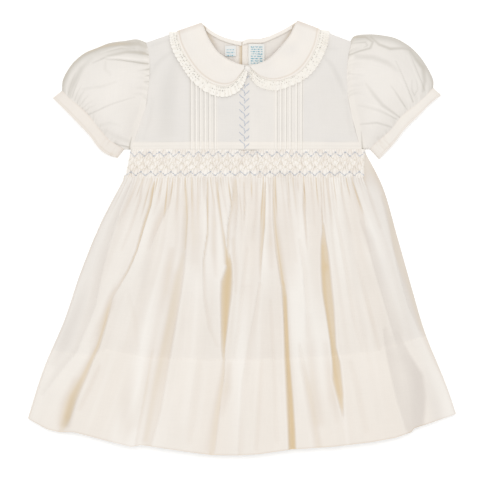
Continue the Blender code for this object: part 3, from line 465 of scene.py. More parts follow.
# Shallow troughs whose tone is painted shade; some are broad patches of painted shade with hardly any depth.
SKIRT_SWELLS = (
    laid(ROUND, (6, -12, 6, 0.6, 0.1), (0, -59, 8, 1.0, 0.15), (-4, -104, 9, 1.0, 0.15),
         (-9, -133, 7, 0.5, 0.1)),
    laid(LEAN_RIGHT, (21, -52, 5, 0.8, 0.2), (16, -87, 7, 1.0, 0.2), (10, -120, 8, 0.8, 0.15),
         (4, -160, 9, 0.9, 0.2), (0, -240, 10, 1.1, 0.2)),
    laid(ROUND, (22, -139, 7, 0.7, 0.1), (19, -182, 9, 1.0, 0.15), (16, -236, 9, 1.0, 0.15)),
    laid(LEAN_RIGHT, (65, -3, 5, 0.7, 0.15), (71, -39, 7, 1.0, 0.2), (74, -76, 7, 1.0, 0.15),
         (74, -109, 6, 0.6, 0.1)),
    laid(ROUND, (64, -119, 6, 0.8, 0.15), (68, -144, 11, 1.6, 0.3), (74, -173, 13, 1.8, 0.35),
         (85, -234, 16, 1.6, 0.3)),
    laid(ROUND, (128, -27, 6, 0.7, 0.05), (137, -61, 8, 1.1, 0.1), (146, -95, 8, 1.1, 0.2),
         (153, -124, 7, 0.6, 0.1)),
    laid(ROUND, (-159, -144, 7, 0.7, 0.15), (-170, -169, 10, 1.0, 0.2), (-181, -191, 9, 0.8, 0.15)),
    laid(ROUND, (-128, -59, 8, 0.5, 0.05), (-119, -92, 10, 0.6, 0.1), (-116, -128, 9, 0.5, 0.05)),
    laid(ROUND, (-47, -139, 10, 0.6, 0.1), (-52, -176, 13, 0.9, 0.1), (-58, -227, 13, 0.8, 0.1)),
    laid(ROUND, (121, -139, 10, 0.6, 0.1), (130, -173, 13, 0.8, 0.1), (139, -216, 13, 0.7, 0.1)),
    laid(ROUND, (32, -70, 6, 0.6, 0.1), (34, -115, 7, 0.8, 0.1), (37, -165, 8, 0.8, 0.1),
         (39, -227, 9, 0.8, 0.1)),
    laid(ROUND, (-57, 58, 22, 0.2, 0.15), (-55, 36, 30, 0.3, 0.32), (-53, 0, 34, 0.3, 0.42),
         (-53, -24, 28, 0.3, 0.3), (-50, -44, 20, 0.1, 0.05)),
    laid(ROUND, (48, 34, 26, 0.2, 0.15), (51, 8, 36, 0.3, 0.3), (53, -22, 34, 0.3, 0.28),
         (56, -52, 22, 0.2, 0.1)),
    laid(ROUND, (74, -88, 14, 0.3, 0.12), (76, -125, 24, 0.4, 0.35), (79, -165, 24, 0.4, 0.4),
         (86, -205, 20, 0.3, 0.25)),
    laid(ROUND, (6, -56, 20, 0.2, 0.1), (6, -105, 24, 0.3, 0.2), (6, -150, 22, 0.3, 0.15),
         (8, -190, 18, 0.2, 0.05)),
    laid(ROUND, (-122, -150, 20, 0.2, 0.1), (-127, -180, 28, 0.3, 0.28), (-128, -210, 28, 0.3, 0.35),
         (-135, -232, 20, 0.2, 0.15)),
    laid(ROUND, (-10, -2, 10, 0.2, 0.25), (-8, -30, 12, 0.3, 0.35), (-7, -60, 8, 0.2, 0.15)),
    laid(ROUND, (-78, -14, 12, 0.2, 0.25), (-81, -34, 18, 0.3, 0.38), (-85, -60, 20, 0.3, 0.36),
         (-93, -92, 18, 0.2, 0.2), (-101, -130, 20, 0.2, 0.28), (-108, -170, 20, 0.3, 0.28),
         (-117, -208, 16, 0.2, 0.15)),
    laid(ROUND, (30, 20, 14, 0.2, 0.12), (31, -8, 18, 0.3, 0.36), (33, -32, 14, 0.2, 0.15)),
    laid(ROUND, (-33, 44, 8, 0.2, 0.15), (-31, 16, 13, 0.3, 0.42), (-31, -14, 13, 0.3, 0.42),
         (-29, -42, 9, 0.2, 0.15)),
    laid(ROUND, (-186, -160, 16, 0.2, 0.2), (-194, -186, 24, 0.3, 0.4), (-198, -208, 22, 0.2, 0.4)),
    laid(ROUND, (-142, -54, 10, 0.2, 0.1), (-148, -76, 18, 0.3, 0.32), (-160, -100, 16, 0.3, 0.3),
         (-170, -122, 12, 0.2, 0.1)),
    laid(ROUND, (-14, -142, 12, 0.2, 0.2), (-17, -168, 18, 0.3, 0.34), (-22, -196, 14, 0.2, 0.12)),
    laid(ROUND, (93, -118, 12, 0.2, 0.15), (97, -148, 18, 0.3, 0.34), (101, -178, 18, 0.3, 0.34),
         (105, -204, 12, 0.2, 0.1)),
)
# Raised ridges whose negative tone is painted highlight.
SKIRT_RIDGES = (
    laid(ROUND, (6, 46, 7, -0.6, -0.2), (4, 14, 10, -0.9, -0.3), (1, -14, 9, -0.5, -0.15)),
    laid(ROUND, (111, -180, 6, -0.5, -0.1), (115, -204, 8, -1.0, -0.3), (118, -230, 8, -0.8, -0.25)),
    laid(ROUND, (-52, -34, 16, -0.4, -0.15), (-50, -56, 24, -0.7, -0.35), (-52, -84, 30, -0.6, -0.4),
         (-57, -120, 32, -0.4, -0.45), (-60, -165, 28, -0.4, -0.4), (-64, -205, 24, -0.3, -0.25)),
)
SKIRT_CREASES = (*SKIRT_PLEATS, *SKIRT_GATHERS, *SKIRT_SWELLS, *SKIRT_RIDGES)

SLEEVE_LEFT_CREASES = (
    laid(ROUND, (-200, 171, 7, 0.6, 0.2), (-193, 190, 9, 0.8, 0.35), (-178, 204, 9, 0.9, 0.45),
         (-158, 213, 9, 0.9, 0.6), (-137, 216, 9, 0.9, 0.65), (-116, 216, 9, 0.8, 0.55),
         (-108, 212, 6, 0.8, 0.5)),
    laid(ROUND, (-166, 194, 3, 0.6, 0.25), (-149, 202, 5, 1.0, 0.45), (-128, 207, 6, 1.2, 0.5),
         (-109, 206, 6, 1.0, 0.6)),
    laid(ROUND, (-172, 200, 14, 0.3, 0.1), (-150, 208, 18, 0.3, 0.25), (-126, 210, 20, 0.3, 0.35),
         (-109, 207, 16, 0.2, 0.3)),
    laid(ROUND, (-150, 207, 3, 0.6, 0.25), (-135, 211, 3, 0.8, 0.35), (-120, 211, 3, 0.7, 0.35)),
    laid(ROUND, (-158, 206, 3, -0.3, -0.25), (-135, 213, 3, -0.3, -0.3), (-116, 209, 3, -0.3, -0.25)),
    laid(ROUND, (-151, 198, 2, 0.3, 0.3), (-137, 197.5, 2.4, 0.6, 0.75), (-120, 195.6, 3, 0.8, 0.9),
         (-105, 194, 3, 1.0, 0.95)),
    laid(ROUND, (-152, 201, 3, -0.4, -0.4), (-130, 200, 3, -0.5, -0.6), (-106, 198, 3, -0.4, -0.5)),
    laid(ROUND, (-152, 195, 5, 0.3, 0.12), (-152, 187, 7, 0.4, 0.15), (-146, 181, 6, 0.3, 0.08)),
    laid(ROUND, (-172, 137, 3, 0.6, 0.4), (-160, 141, 3, 0.7, 0.35), (-145, 147, 3, 0.6, 0.28),
         (-119, 156, 3, 0.3, 0.12)),
    laid(ROUND, (-178, 165, 5, 0.3, 0.12), (-155, 167, 6, 0.4, 0.15), (-140, 172, 5, 0.3, 0.1)),
    laid(ROUND, (-192, 158, 9, 0.3, 0.25), (-187, 174, 12, 0.5, 0.4), (-179, 188, 11, 0.5, 0.35),
         (-168, 199, 8, 0.3, 0.15)),
    laid(ROUND, (-194, 160, 2, 0.5, 0.4), (-191, 171, 2, 0.5, 0.35), (-186, 183, 3, 0.3, 0.15)),
    laid(ROUND, (-190, 156, 2, 0.5, 0.45), (-186, 167, 2, 0.5, 0.35), (-181, 177, 2, 0.3, 0.15)),
    laid(ROUND, (-187, 153, 2, 0.5, 0.4), (-183, 162, 2, 0.4, 0.3), (-179, 169, 2, 0.2, 0.1)),
    laid(ROUND, (-184, 150, 2, 0.5, 0.4), (-180, 158, 2, 0.4, 0.25), (-175, 164, 2, 0.2, 0.1)),
    laid(ROUND, (-181, 147, 2, 0.5, 0.4), (-176, 153, 2, 0.4, 0.25), (-170, 158, 2, 0.2, 0.1)),
    laid(ROUND, (-178, 144, 2, 0.5, 0.35), (-172, 149, 2, 0.3, 0.2), (-166, 152, 2, 0.2, 0.1)),
    laid(ROUND, (-175, 141, 2, 0.5, 0.35), (-169, 145, 2, 0.3, 0.2), (-162, 147, 2, 0.1, 0.05)),
    laid(ROUND, (-160, 124, 5, 0.3, 0.12), (-148, 127, 6, 0.3, 0.12), (-135, 124, 6, 0.2, 0.05)),
    laid(ROUND, (-154, 119, 8, 0.4, 0.08), (-140, 112, 9, 0.6, 0.12), (-127, 107, 7, 0.6, 0.2)),
    laid(ROUND, (-146, 106, 3, 0.3, 0.25), (-136, 103, 3, 0.4, 0.4), (-127, 101, 3, 0.4, 0.8)),
    laid(ROUND, (-123, 112, 2, 0.4, 0.3), (-125, 105, 3, 0.8, 0.8), (-126, 98, 3, 0.8, 1.0)),
    laid(ROUND, (-104, 204, 3, 0.8, 0.9), (-109, 205, 3, 0.5, 0.5), (-116, 205, 3, 0.2, 0.1)),
    laid(ROUND, (-104, 188, 3, 0.8, 0.8), (-109, 187, 3, 0.4, 0.4), (-116, 186, 3, 0.2, 0.1)),
    laid(ROUND, (-104, 181, 2, 0.6, 0.7), (-108, 180, 2, 0.4, 0.3)),
    laid(ROUND, (-104, 174, 2, 0.6, 0.7), (-109, 174, 3, 0.4, 0.3)),
)
SLEEVE_RIGHT_CREASES = (
    laid(ROUND, (124, 224, 3, 0.5, 0.45), (138, 224, 3, 0.6, 0.55), (146, 218, 4, 0.7, 0.6),
         (143, 211, 4, 0.7, 0.55), (131, 208, 3, 0.6, 0.6), (120, 204, 3, 0.6, 0.7)),
    laid(ROUND, (122, 217, 2, 0.4, 0.4), (138, 218, 3, 0.5, 0.45), (140, 214, 3, 0.4, 0.4),
         (136, 212, 2, 0.2, 0.2)),
    laid(ROUND, (144, 224, 3, 0.8, 0.45), (153, 215, 5, 1.1, 0.6), (165, 210, 6, 1.1, 0.6),
         (179, 211, 5, 0.8, 0.45), (188, 209, 4, 0.4, 0.2)),
    laid(ROUND, (188, 208, 4, 0.5, 0.3), (194, 199, 7, 0.9, 0.5), (202, 189, 9, 1.1, 0.55),
         (204, 175, 8, 1.1, 0.5), (202, 163, 5, 0.7, 0.35)),
    laid(ROUND, (187, 206, 2, 0.4, 0.3), (194, 188, 2, 0.6, 0.4), (200, 174, 2, 0.6, 0.45),
         (204, 164, 2, 0.6, 0.45)),
    laid(ROUND, (184, 203, 2, -0.2, -0.2), (191, 187, 2, -0.3, -0.35), (198, 170, 2, -0.3, -0.35)),
    laid(ROUND, (171, 196, 2, 0.4, 0.25), (179, 178, 2, 0.6, 0.4), (186, 162, 2, 0.7, 0.5),
         (191, 151, 2, 0.7, 0.6)),
    laid(ROUND, (174, 178, 2, -0.2, -0.2), (182, 164, 2, -0.3, -0.35), (188, 153, 2, -0.3, -0.3)),
    laid(ROUND, (189, 175, 2, 0.3, 0.25), (189, 165, 2, 0.4, 0.35), (192, 158, 2, 0.4, 0.35),
         (196, 165, 2, 0.4, 0.35), (194, 175, 2, 0.3, 0.2)),
    laid(ROUND, (165, 168, 3, 0.3, 0.15), (173, 158, 3, 0.5, 0.35), (182, 146, 2, 0.6, 0.5)),
    laid(ROUND, (170, 160, 2, 0.2, 0.15), (177, 151, 2, 0.4, 0.35), (184, 143, 2, 0.5, 0.45)),
    laid(ROUND, (138, 170, 5, 0.4, 0.15), (146, 158, 7, 0.6, 0.3), (156, 146, 7, 0.8, 0.38),
         (176, 134, 3, 0.8, 0.45)),
    laid(ROUND, (130, 147, 4, 0.2, 0.1), (153, 140, 5, 0.4, 0.22), (172, 132, 3, 0.6, 0.4)),
    laid(ROUND, (132, 151, 3, -0.2, -0.1), (155, 143, 3, -0.3, -0.3), (170, 134, 3, -0.3, -0.3)),
    laid(ROUND, (132, 126, 3, 0.4, 0.3), (150, 127, 4, 0.6, 0.4), (167, 123, 3, 0.6, 0.4)),
    laid(ROUND, (133, 118, 2, 0.4, 0.3), (134, 106, 3, 0.7, 0.6), (135, 98, 3, 0.8, 0.9)),
    laid(ROUND, (128, 202, 9, 0.5, 0.25), (146, 200, 10, 0.6, 0.3), (161, 194, 10, 0.6, 0.28),
         (173, 185, 8, 0.4, 0.12)),
    laid(ROUND, (119, 183, 3, 0.6, 0.4), (126, 182, 3, 0.4, 0.15), (134, 180, 4, 0.2, 0.05)),
)
BODICE_CREASES = (
    laid(ROUND, (-76, 208, 7, 0.5, 0.1), (-87, 201, 9, 0.9, 0.2), (-97, 192, 9, 0.9, 0.2),
         (-103, 179, 7, 0.5, 0.1)),
    laid(ROUND, (90, 203, 6, 0.5, 0.1), (100, 193, 10, 1.1, 0.25), (109, 176, 10, 1.2, 0.3),
         (115, 161, 8, 0.7, 0.15)),
    laid(ROUND, (116, 154, 7, 0.5, 0.1), (119, 134, 8, 0.6, 0.15), (123, 114, 7, 0.5, 0.1)),
    laid(ROUND, (-100, 154, 7, 0.4, 0.1), (-103, 132, 8, 0.6, 0.15), (-110, 111, 7, 0.5, 0.1)),
    laid(ROUND, (76, 221, 7, 0.5, 0.1), (87, 213, 9, 0.8, 0.2), (105, 210, 8, 0.5, 0.1)),
    laid(ROUND, (-101, 214, 6, 0.5, 0.15), (-92, 217, 7, 0.6, 0.15), (-81, 221, 6, 0.4, 0.1)),
    laid(ROUND, (-74, 196, 22, 0.3, 0.15), (-82, 165, 34, 0.4, 0.28), (-84, 125, 34, 0.4, 0.28),
         (-86, 106, 26, 0.2, 0.1)),
)

# Golden shadow inside the neck, on both sides, where the front lies folded over the back.
BACK_SHADOWS = (
    laid(ROUND, (-43, 238, 13, 0, 0.5), (-36, 224, 14, 0, 0.5), (-29, 213, 10, 0, 0.3)),
    laid(ROUND, (61, 240, 13, 0, 0.5), (54, 227, 12, 0, 0.45), (47, 217, 9, 0, 0.25)),
)

# --- Colour and materials ------------------------------------------------------------------
PER_METRE = 1000.0           # millimetres in a metre
WHITE = (1.0, 1.0, 1.0, 1.0)


def linear(code: str) -> tuple[float, float, float, float]:
    """Linear colour of an sRGB hex code.

    Args:
        code: the number sign and six hex digits.

    Returns:
        Red, green, blue and an alpha of 1.
    """
    parts = [int(code[i:i + 2], 16) / 255.0 for i in (1, 3, 5)]
    made = [c / 12.92 if c <= 0.04045 else ((c + 0.055) / 1.055) ** 2.4 for c in parts]
    return (*made, 1.0)


@dataclass
class Paint:
    """A new material and the nodes that are added to it, one by one."""

    name: str

    def __post_init__(self) -> None:
        """Make the empty material."""
        self.material = bpy.data.materials.new(self.name)
        self.material.use_nodes = True
        self.tree = self.material.node_tree

    def feed(self, node: bpy.types.Node, inputs: dict[str | int, object]) -> None:
        """Set and link a node's inputs.

        Args:
            node: the node.
            inputs: socket name or number to a value, or to the socket or the node that feeds it.
        """
        for name, value in inputs.items():
            if isinstance(value, bpy.types.Node):
                value = next(socket for socket in value.outputs if socket.enabled)
            if isinstance(value, bpy.types.NodeSocket):
                self.tree.links.new(value, node.inputs[name])
            else:
                node.inputs[name].default_value = value

    def add(
        self, kind: str, inputs: dict[str | int, object] | None = None, **settings: object,
    ) -> bpy.types.Node:
        """Add a shader node with its settings and links.

        Args:
            kind: the end of the node's type name, after ShaderNode.
            inputs: what feeds it.
            settings: the node's own properties.

        Returns:
            The new node.
        """
        node = self.tree.nodes.new(f"ShaderNode{kind}")
        for name, value in settings.items():
            setattr(node, name, value)
        self.feed(node, inputs or {})
        return node

    def finish(self, inputs: dict[str | int, object]) -> bpy.types.Material:
        """Feed the Principled shader and return the material."""
        self.feed(self.tree.nodes["Principled BSDF"], inputs)
        return self.material


@dataclass(frozen=True)
class BatisteFinish:
    """Plain-woven cotton batiste, bleached to ivory and pressed.

    To the eye it is matt, cool where one sheer layer lies on another and creamier where it is double.
    Its colour also carries painted shade, grey in shallow folds and golden down in the deep ones,
    and a painted highlight on ridges.
    """

    name: str
    sheer: str = "#E1DDD8"
    double: str = "#EDE7DF"
    # fold, gold and deep colour the painted shade of shallow to deep folds; glow is the painted highlight.
    fold: str = "#F5F1EE"
    gold: str = "#F1E9DD"
    deep: str = "#EAD8B8"
    glow: str = "#F5F1EB"
    fold_at: float = 0.35
    gold_at: float = 0.6
    roughness: float = 0.92
    sheen: float = 0.12
    slub_mm: float = 1.6      # real threads lie 0.3 mm apart; slubs are drawn wider, to show at all
    slub_run_mm: float = 26.0
    cloud_scale: float = 24.0
    weave: float = 0.1
    weave_deep: float = 0.0004

    def material(self) -> bpy.types.Material:
        """Material with slubs along warp and weft, layer tones, painted fold shade and painted highlights."""
        paint = Paint(self.name)
        place = paint.add("UVMap", uv_map="cloth")
        threads = []
        for wide, long in ((self.slub_mm, self.slub_run_mm), (self.slub_run_mm, self.slub_mm)):
            run = paint.add("Mapping", {"Vector": place, "Scale": (PER_METRE / wide, PER_METRE / long, 1.0)})
            inputs = {"Vector": run, "Scale": 1.0, "Detail": 2.0, "Roughness": 0.55}
            threads.append(paint.add("TexNoise", inputs))
        weave = paint.add("Math", dict(enumerate(threads)), operation="ADD")
        cloud = paint.add("TexNoise", {
            "Vector": paint.add("TexCoord").outputs["Object"], "Scale": self.cloud_scale, "Detail": 3.0,
        })
        tones = paint.add("SeparateColor", {"Color": paint.add("Attribute", attribute_name="cloth_shade_layers_light")})
        shade, layers, light = (tones.outputs[name] for name in ("Red", "Green", "Blue"))
        layered = paint.add("Mix", {
            "Factor": layers, "A": linear(self.sheer), "B": linear(self.double),
        }, data_type="RGBA")
        ramp = paint.add("ValToRGB", {"Fac": shade})
        stops = ramp.color_ramp.elements
        stops[0].color = WHITE
        stops[1].color = linear(self.deep)
        stops.new(self.fold_at).color = linear(self.fold)
        stops.new(self.gold_at).color = linear(self.gold)
        folded = paint.add("Mix", {
            "Factor": 1.0, "A": layered, "B": ramp,
        }, data_type="RGBA", blend_type="MULTIPLY")
        faded = paint.add("MapRange", {
            "Value": cloud, "From Min": 0.3, "From Max": 0.7, "To Min": 0.985, "To Max": 1.015,
        })
        slubbed = paint.add("MapRange", {
            "Value": weave, "From Min": 0.6, "From Max": 1.4, "To Min": 0.985, "To Max": 1.012,
        })
        toned = paint.add("Mix", {
            "Factor": 1.0, "A": folded, "B": paint.add("Math", {0: faded, 1: slubbed}, operation="MULTIPLY"),
        }, data_type="RGBA", blend_type="MULTIPLY")
        return paint.finish({
            "Base Color": paint.add("Mix", {
                "Factor": light, "A": toned, "B": linear(self.glow),
            }, data_type="RGBA"),
            "Normal": paint.add("Bump", {
                "Height": weave, "Strength": self.weave, "Distance": self.weave_deep,
            }),
            "Roughness": self.roughness, "Sheen Weight": self.sheen, "Sheen Roughness": 0.5,
            "Specular IOR Level": 0.25,
        })


@dataclass(frozen=True)
class FlossFinish:
    """Stranded cotton floss or sewing thread, mercerised: a soft gleam along a twisted cord."""

    name: str
    colour: str
    shade: str
    twist_mm: float = 1.1     # the real twist is near 0.5 mm; drawn wider, to show at all
    twist_turn: float = 0.6
    twist_deep: float = 0.0002
    roughness: float = 0.6
    sheen: float = 0.15

    def material(self) -> bpy.types.Material:
        """Material with a slanting twist along the thread's own length."""
        paint = Paint(self.name)
        turned = paint.add("Mapping", {
            "Vector": paint.add("UVMap", uv_map="cloth"), "Scale": (PER_METRE / self.twist_mm, 1.0, 1.0),
            "Rotation": (0.0, 0.0, self.twist_turn),
        })
        twist = paint.add("TexWave", {
            "Vector": turned, "Scale": 1.0, "Distortion": 0.6,
        }, bands_direction="X").outputs["Fac"]
        return paint.finish({
            "Base Color": paint.add("Mix", {
                "Factor": twist, "A": linear(self.shade), "B": linear(self.colour),
            }, data_type="RGBA"),
            "Normal": paint.add("Bump", {"Height": twist, "Strength": 0.3, "Distance": self.twist_deep}),
            "Roughness": self.roughness, "Sheen Weight": self.sheen,
        })


@dataclass(frozen=True)
class LabelFinish:
    """Woven satin tape: smoother and cooler than the cloth, with broken dashes of teal weft."""

    name: str
    tape: str = "#E1E1DE"
    band: str = "#5FA3B6"
    first_mm: float = 4.0     # where its first row of dashes begins
    band_mm: float = 1.7      # how tall a row is
    step_mm: float = 3.4      # from row to row
    half_mm: float = 4.4      # half of a row's length
    word_mm: float = 1.5      # its dashes stand where a label has its words
    strength: float = 0.85
    rib_scales: tuple[float, float] = (900.0, 2200.0)
    rib_deep: float = 0.0002
    roughness: float = 0.55
    sheen: float = 0.1

    def material(self) -> bpy.types.Material:
        """Material with rows of dashes across the tape."""
        paint = Paint(self.name)
        place = paint.add("UVMap", uv_map="cloth")
        parts = paint.add("SeparateXYZ", {"Vector": place}).outputs
        ribs, words = (
            paint.add("TexNoise", {
                "Vector": paint.add("Mapping", {"Vector": place, "Scale": (*scales, 1.0)}),
                "Scale": 1.0, "Detail": 1.0,
            }) for scales in (self.rib_scales, (PER_METRE / self.word_mm, PER_METRE / self.step_mm))
        )
        steps = paint.add("Math", {0: parts["Y"], 1: self.step_mm * MM}, operation="MODULO")
        middle = paint.add("Math", {0: parts["X"]}, operation="ABSOLUTE")
        amount = paint.add("MapRange", {
            "Value": words, "From Min": 0.4, "From Max": 0.6, "To Min": 0.15 * self.strength,
            "To Max": self.strength,
        })
        for value, test, limit in (
            (steps, "LESS_THAN", self.band_mm), (parts["Y"], "GREATER_THAN", self.first_mm),
            (middle, "LESS_THAN", self.half_mm),
        ):
            inside = paint.add("Math", {0: value, 1: limit * MM}, operation=test)
            amount = paint.add("Math", {0: amount, 1: inside}, operation="MULTIPLY")
        return paint.finish({
            "Base Color": paint.add("Mix", {
                "Factor": amount, "A": linear(self.tape), "B": linear(self.band),
            }, data_type="RGBA"),
            "Normal": paint.add("Bump", {"Height": ribs, "Strength": 0.2, "Distance": self.rib_deep}),
            "Roughness": self.roughness, "Sheen Weight": self.sheen,
        })


@dataclass(frozen=True)
class PearlFinish:
    """Cast polyester button with fish-scale pearl: satin, with faint cloudy bands."""

    name: str = "cast_polyester_pearl_button"
    pale: str = "#EDE7DA"
    warm: str = "#DCD0BD"
    band_scale: float = 330.0

    def material(self) -> bpy.types.Material:
        """Material with drifting pearl bands about 3 mm wide."""
        paint = Paint(self.name)
        bands = paint.add("TexNoise", {
            "Vector": paint.add("TexCoord").outputs["Object"], "Scale": self.band_scale, "Detail": 2.0,
            "Distortion": 1.4,
        })
        return paint.finish({
            "Base Color": paint.add("Mix", {
                "Factor": bands, "A": linear(self.pale), "B": linear(self.warm),
            }, data_type="RGBA"),
            "Roughness": 0.28, "IOR": 1.55, "Coat Weight": 0.3,
        })


class Slot(Enum):
    """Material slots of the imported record."""

    BATISTE = "batiste"
    COLLAR = "collar_batiste"
    LACE = "lace"
    SMOCKING = "smocking"
    LABEL = "label"
    BUTTON = "button"


class Finishes:
    """Every finish of the dress, made once."""

    def __init__(self) -> None:
        """Make the materials."""
        self.batiste = BatisteFinish("woven_cotton_batiste").material()
        self.single = BatisteFinish(
            "single_layer_cotton_batiste", fold="#ECECEB", gold="#F2EADC", deep="#F0E0C4",
        ).material()
        self.puff = BatisteFinish(
            "puffed_cotton_batiste", sheer="#E5E0DA", fold="#E7E7E5", gold="#D9D7D1", deep="#DFC79E",
        ).material()
        self.double = BatisteFinish("doubled_cotton_batiste", sheer="#E6E1DB").material()
        self.lace = BatisteFinish(
            "cotton_net_edging_lace", sheer="#EBE7DF", double="#F2EEE6", slub_mm=1.0, slub_run_mm=3.0,
            weave=0.25,
        ).material()
        self.pleats = BatisteFinish("pleated_smocked_batiste", weave=0.06).material()
        self.label = LabelFinish("woven_satin_label_tape").material()
        self.care_label = LabelFinish(
            "woven_satin_care_label_tape", tape="#E3E2DD", band="#4A9AB0", first_mm=2.4,
            band_mm=1.5, step_mm=2.6, half_mm=6.6, word_mm=1.8, strength=0.9,
        ).material()
        self.pearl = PearlFinish().material()
        self.blue = FlossFinish("stranded_cotton_floss_blue", "#C6CCD7", "#B8BFCB").material()
        self.cream = FlossFinish("stranded_cotton_floss_cream", "#F2ECE0", "#E7DED0").material()
        self.sewing = FlossFinish("cotton_sewing_thread", "#EBE3D5", "#DCD1C2", twist_mm=0.8).material()


# --- Making pieces -------------------------------------------------------------------------
CLOTH_ANGLE = math.radians(66)    # faces that meet at less than this are shaded smooth
THREAD_ANGLE = math.radians(75)
UPWARD = -1.0                # a wall grows inwards from the face that is drawn
TINY = 1e-9


def deselect() -> None:
    """Deselect everything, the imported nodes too."""
    bpy.ops.object.select_all(action="DESELECT")


def make_active(obj: bpy.types.Object) -> None:
    """Select one object alone and make it active.

    Args:
        obj: the object.
    """
    deselect()
    obj.select_set(True)
    bpy.context.view_layer.objects.active = obj


def place_mesh(name: str, mesh: bpy.types.Mesh, finish: bpy.types.Material) -> bpy.types.Object:
    """Put a mesh into the scene with its finish, as the active object.

    Args:
        name: the piece's name.
        mesh: its mesh.
        finish: its material.

    Returns:
        The new object.
    """
    mesh.materials.append(finish)
    made = bpy.data.objects.new(name, mesh)
    bpy.context.scene.collection.objects.link(made)
    make_active(made)
    return made


def dress_up(obj: bpy.types.Object, slot: Slot, *nodes: str) -> bpy.types.Object:
    """Tie a finished piece to the frame and report it.

    Args:
        obj: the piece.
        slot: the record's slot; not used.
        nodes: the nodes it stands for.

    Returns:
        The same piece.
    """
    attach(obj, "root")
    if nodes:
        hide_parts(*nodes)
    log.info("%s: %d faces", obj.name, len(obj.data.polygons))
    return obj


def corners(grid: Array) -> Array:
    """The four corners of each cell of a grid, in order round the cell."""
    left, right = grid[:, :-1], grid[:, 1:]
    return np.stack([left[:-1], left[1:], right[1:], right[:-1]], axis=-1)


def closed_ring(grid: Array) -> Array:
    """Grid with its first column once more at its end."""
    return np.concatenate([grid, grid[:, :1]], axis=1)


@dataclass
class Cloth:
    """Grid of points on one face of a thin cloth, with its painted shade, layers and painted highlight."""

    points: Array                   # rows, columns, xyz in millimetres
    # shade is painted shade, deeper in folds, and light is painted highlight; layers drops for painted cool
    # shade in some folds.
    shade: Array | float = 0.0      # how deep in a fold, 0 to 1
    layers: Array | float = 0.0     # 0 for one sheer layer, 1 for doubled cloth
    light: Array | float = 0.0      # bright ridges, 0 to 1
    ring: bool = False              # the last column meets the first
    holes: Array | None = None      # True where a cell is left open
    upper: slice = field(default_factory=lambda: slice(None))  # columns whose cells face up
    upper_rows: slice = field(default_factory=lambda: slice(None))

    def weave_places(self) -> tuple[Array, Array]:
        """Places on the flat cut: distance along its widest row and down each column."""
        p = closed_ring(self.points) if self.ring else self.points
        steps = np.linalg.norm(np.diff(p, axis=1), axis=2)
        wide = steps[np.argmax(steps.sum(axis=1))]
        u = np.concatenate(([0.0], np.cumsum(wide)))
        u = np.broadcast_to(u - u[-1] / 2, p.shape[:2])
        down = np.linalg.norm(np.diff(p, axis=0), axis=2)
        v = np.concatenate((np.zeros((1, p.shape[1])), np.cumsum(down, axis=0)))
        return u, v

    def build(self, name: str, wall: float, finish: bpy.types.Material) -> bpy.types.Object:
        """Make the closed thin shell.

        Args:
            name: the piece's name.
            wall: thickness of the cloth in millimetres.
            finish: its material.

        Returns:
            The piece, smooth-shaded, at the origin.
        """
        rows, cols = self.points.shape[:2]
        number = np.arange(rows * cols).reshape(rows, cols)
        quads = corners(closed_ring(number) if self.ring else number)
        uv = np.stack([corners(place) for place in self.weave_places()], axis=-1)
        flat = self.points.reshape(-1, 3)
        sample = quads[self.upper_rows, self.upper].reshape(-1, 4)
        lean = np.cross(flat[sample[:, 2]] - flat[sample[:, 0]], flat[sample[:, 3]] - flat[sample[:, 1]])
        if lean[:, 2].sum() < 0:
            quads, uv = quads[..., ::-1], uv[..., ::-1, :]
        keep = np.ones(quads.shape[:2], bool) if self.holes is None else ~self.holes
        quads, uv = quads[keep].reshape(-1, 4), uv[keep].reshape(-1, 2)
        mesh = bpy.data.meshes.new(name)
        mesh.vertices.add(len(flat))
        mesh.vertices.foreach_set("co", (flat * MM).ravel())
        mesh.loops.add(quads.size)
        mesh.loops.foreach_set("vertex_index", quads.ravel())
        mesh.polygons.add(len(quads))
        mesh.polygons.foreach_set("loop_start", np.arange(len(quads)) * 4)
        mesh.update(calc_edges=True)
        mesh.uv_layers.new(name="cloth").data.foreach_set("uv", (uv * MM).ravel())
        tones = np.ones((rows, cols, 4))
        for k, value in enumerate((self.shade, self.layers, self.light)):
            tones[..., k] = unit(value)
        attribute = mesh.color_attributes.new("cloth_shade_layers_light", "FLOAT_COLOR", "POINT")
        attribute.data.foreach_set("color", tones.ravel())
        mesh.validate()
        made = place_mesh(name, mesh, finish)
        if self.holes is not None:
            bpy.ops.object.mode_set(mode="EDIT")
            bpy.ops.mesh.select_all(action="SELECT")
            bpy.ops.mesh.delete_loose()
            bpy.ops.object.mode_set(mode="OBJECT")
        shell = made.modifiers.new("wall", "SOLIDIFY")
        shell.thickness = wall * MM
        shell.offset = UPWARD
        bpy.ops.object.modifier_apply(modifier="wall")
        bpy.ops.object.shade_smooth_by_angle(angle=CLOTH_ANGLE)
        return made


class Seat:
    """Finds how high a finished piece lies, so that a thread can rest on it."""

    def __init__(self, *pieces: bpy.types.Object) -> None:
        """Prepare the search on one or more pieces."""
        graph = bpy.context.evaluated_depsgraph_get()
        self.trees = [BVHTree.FromObject(piece, graph) for piece in pieces]

    def height(self, x: float, y: float) -> float:
        """Height of the highest face under a point, or 0 where there is none.

        Args:
            x: the point, in millimetres.
            y: the point, in millimetres.

        Returns:
            The height in millimetres.
        """
        eye = Vector((x * MM, y * MM, 0.2))
        hits = [tree.ray_cast(eye, Vector((0.0, 0.0, -1.0)))[0] for tree in self.trees]
        return max((hit.z / MM for hit in hits if hit is not None), default=0.0)


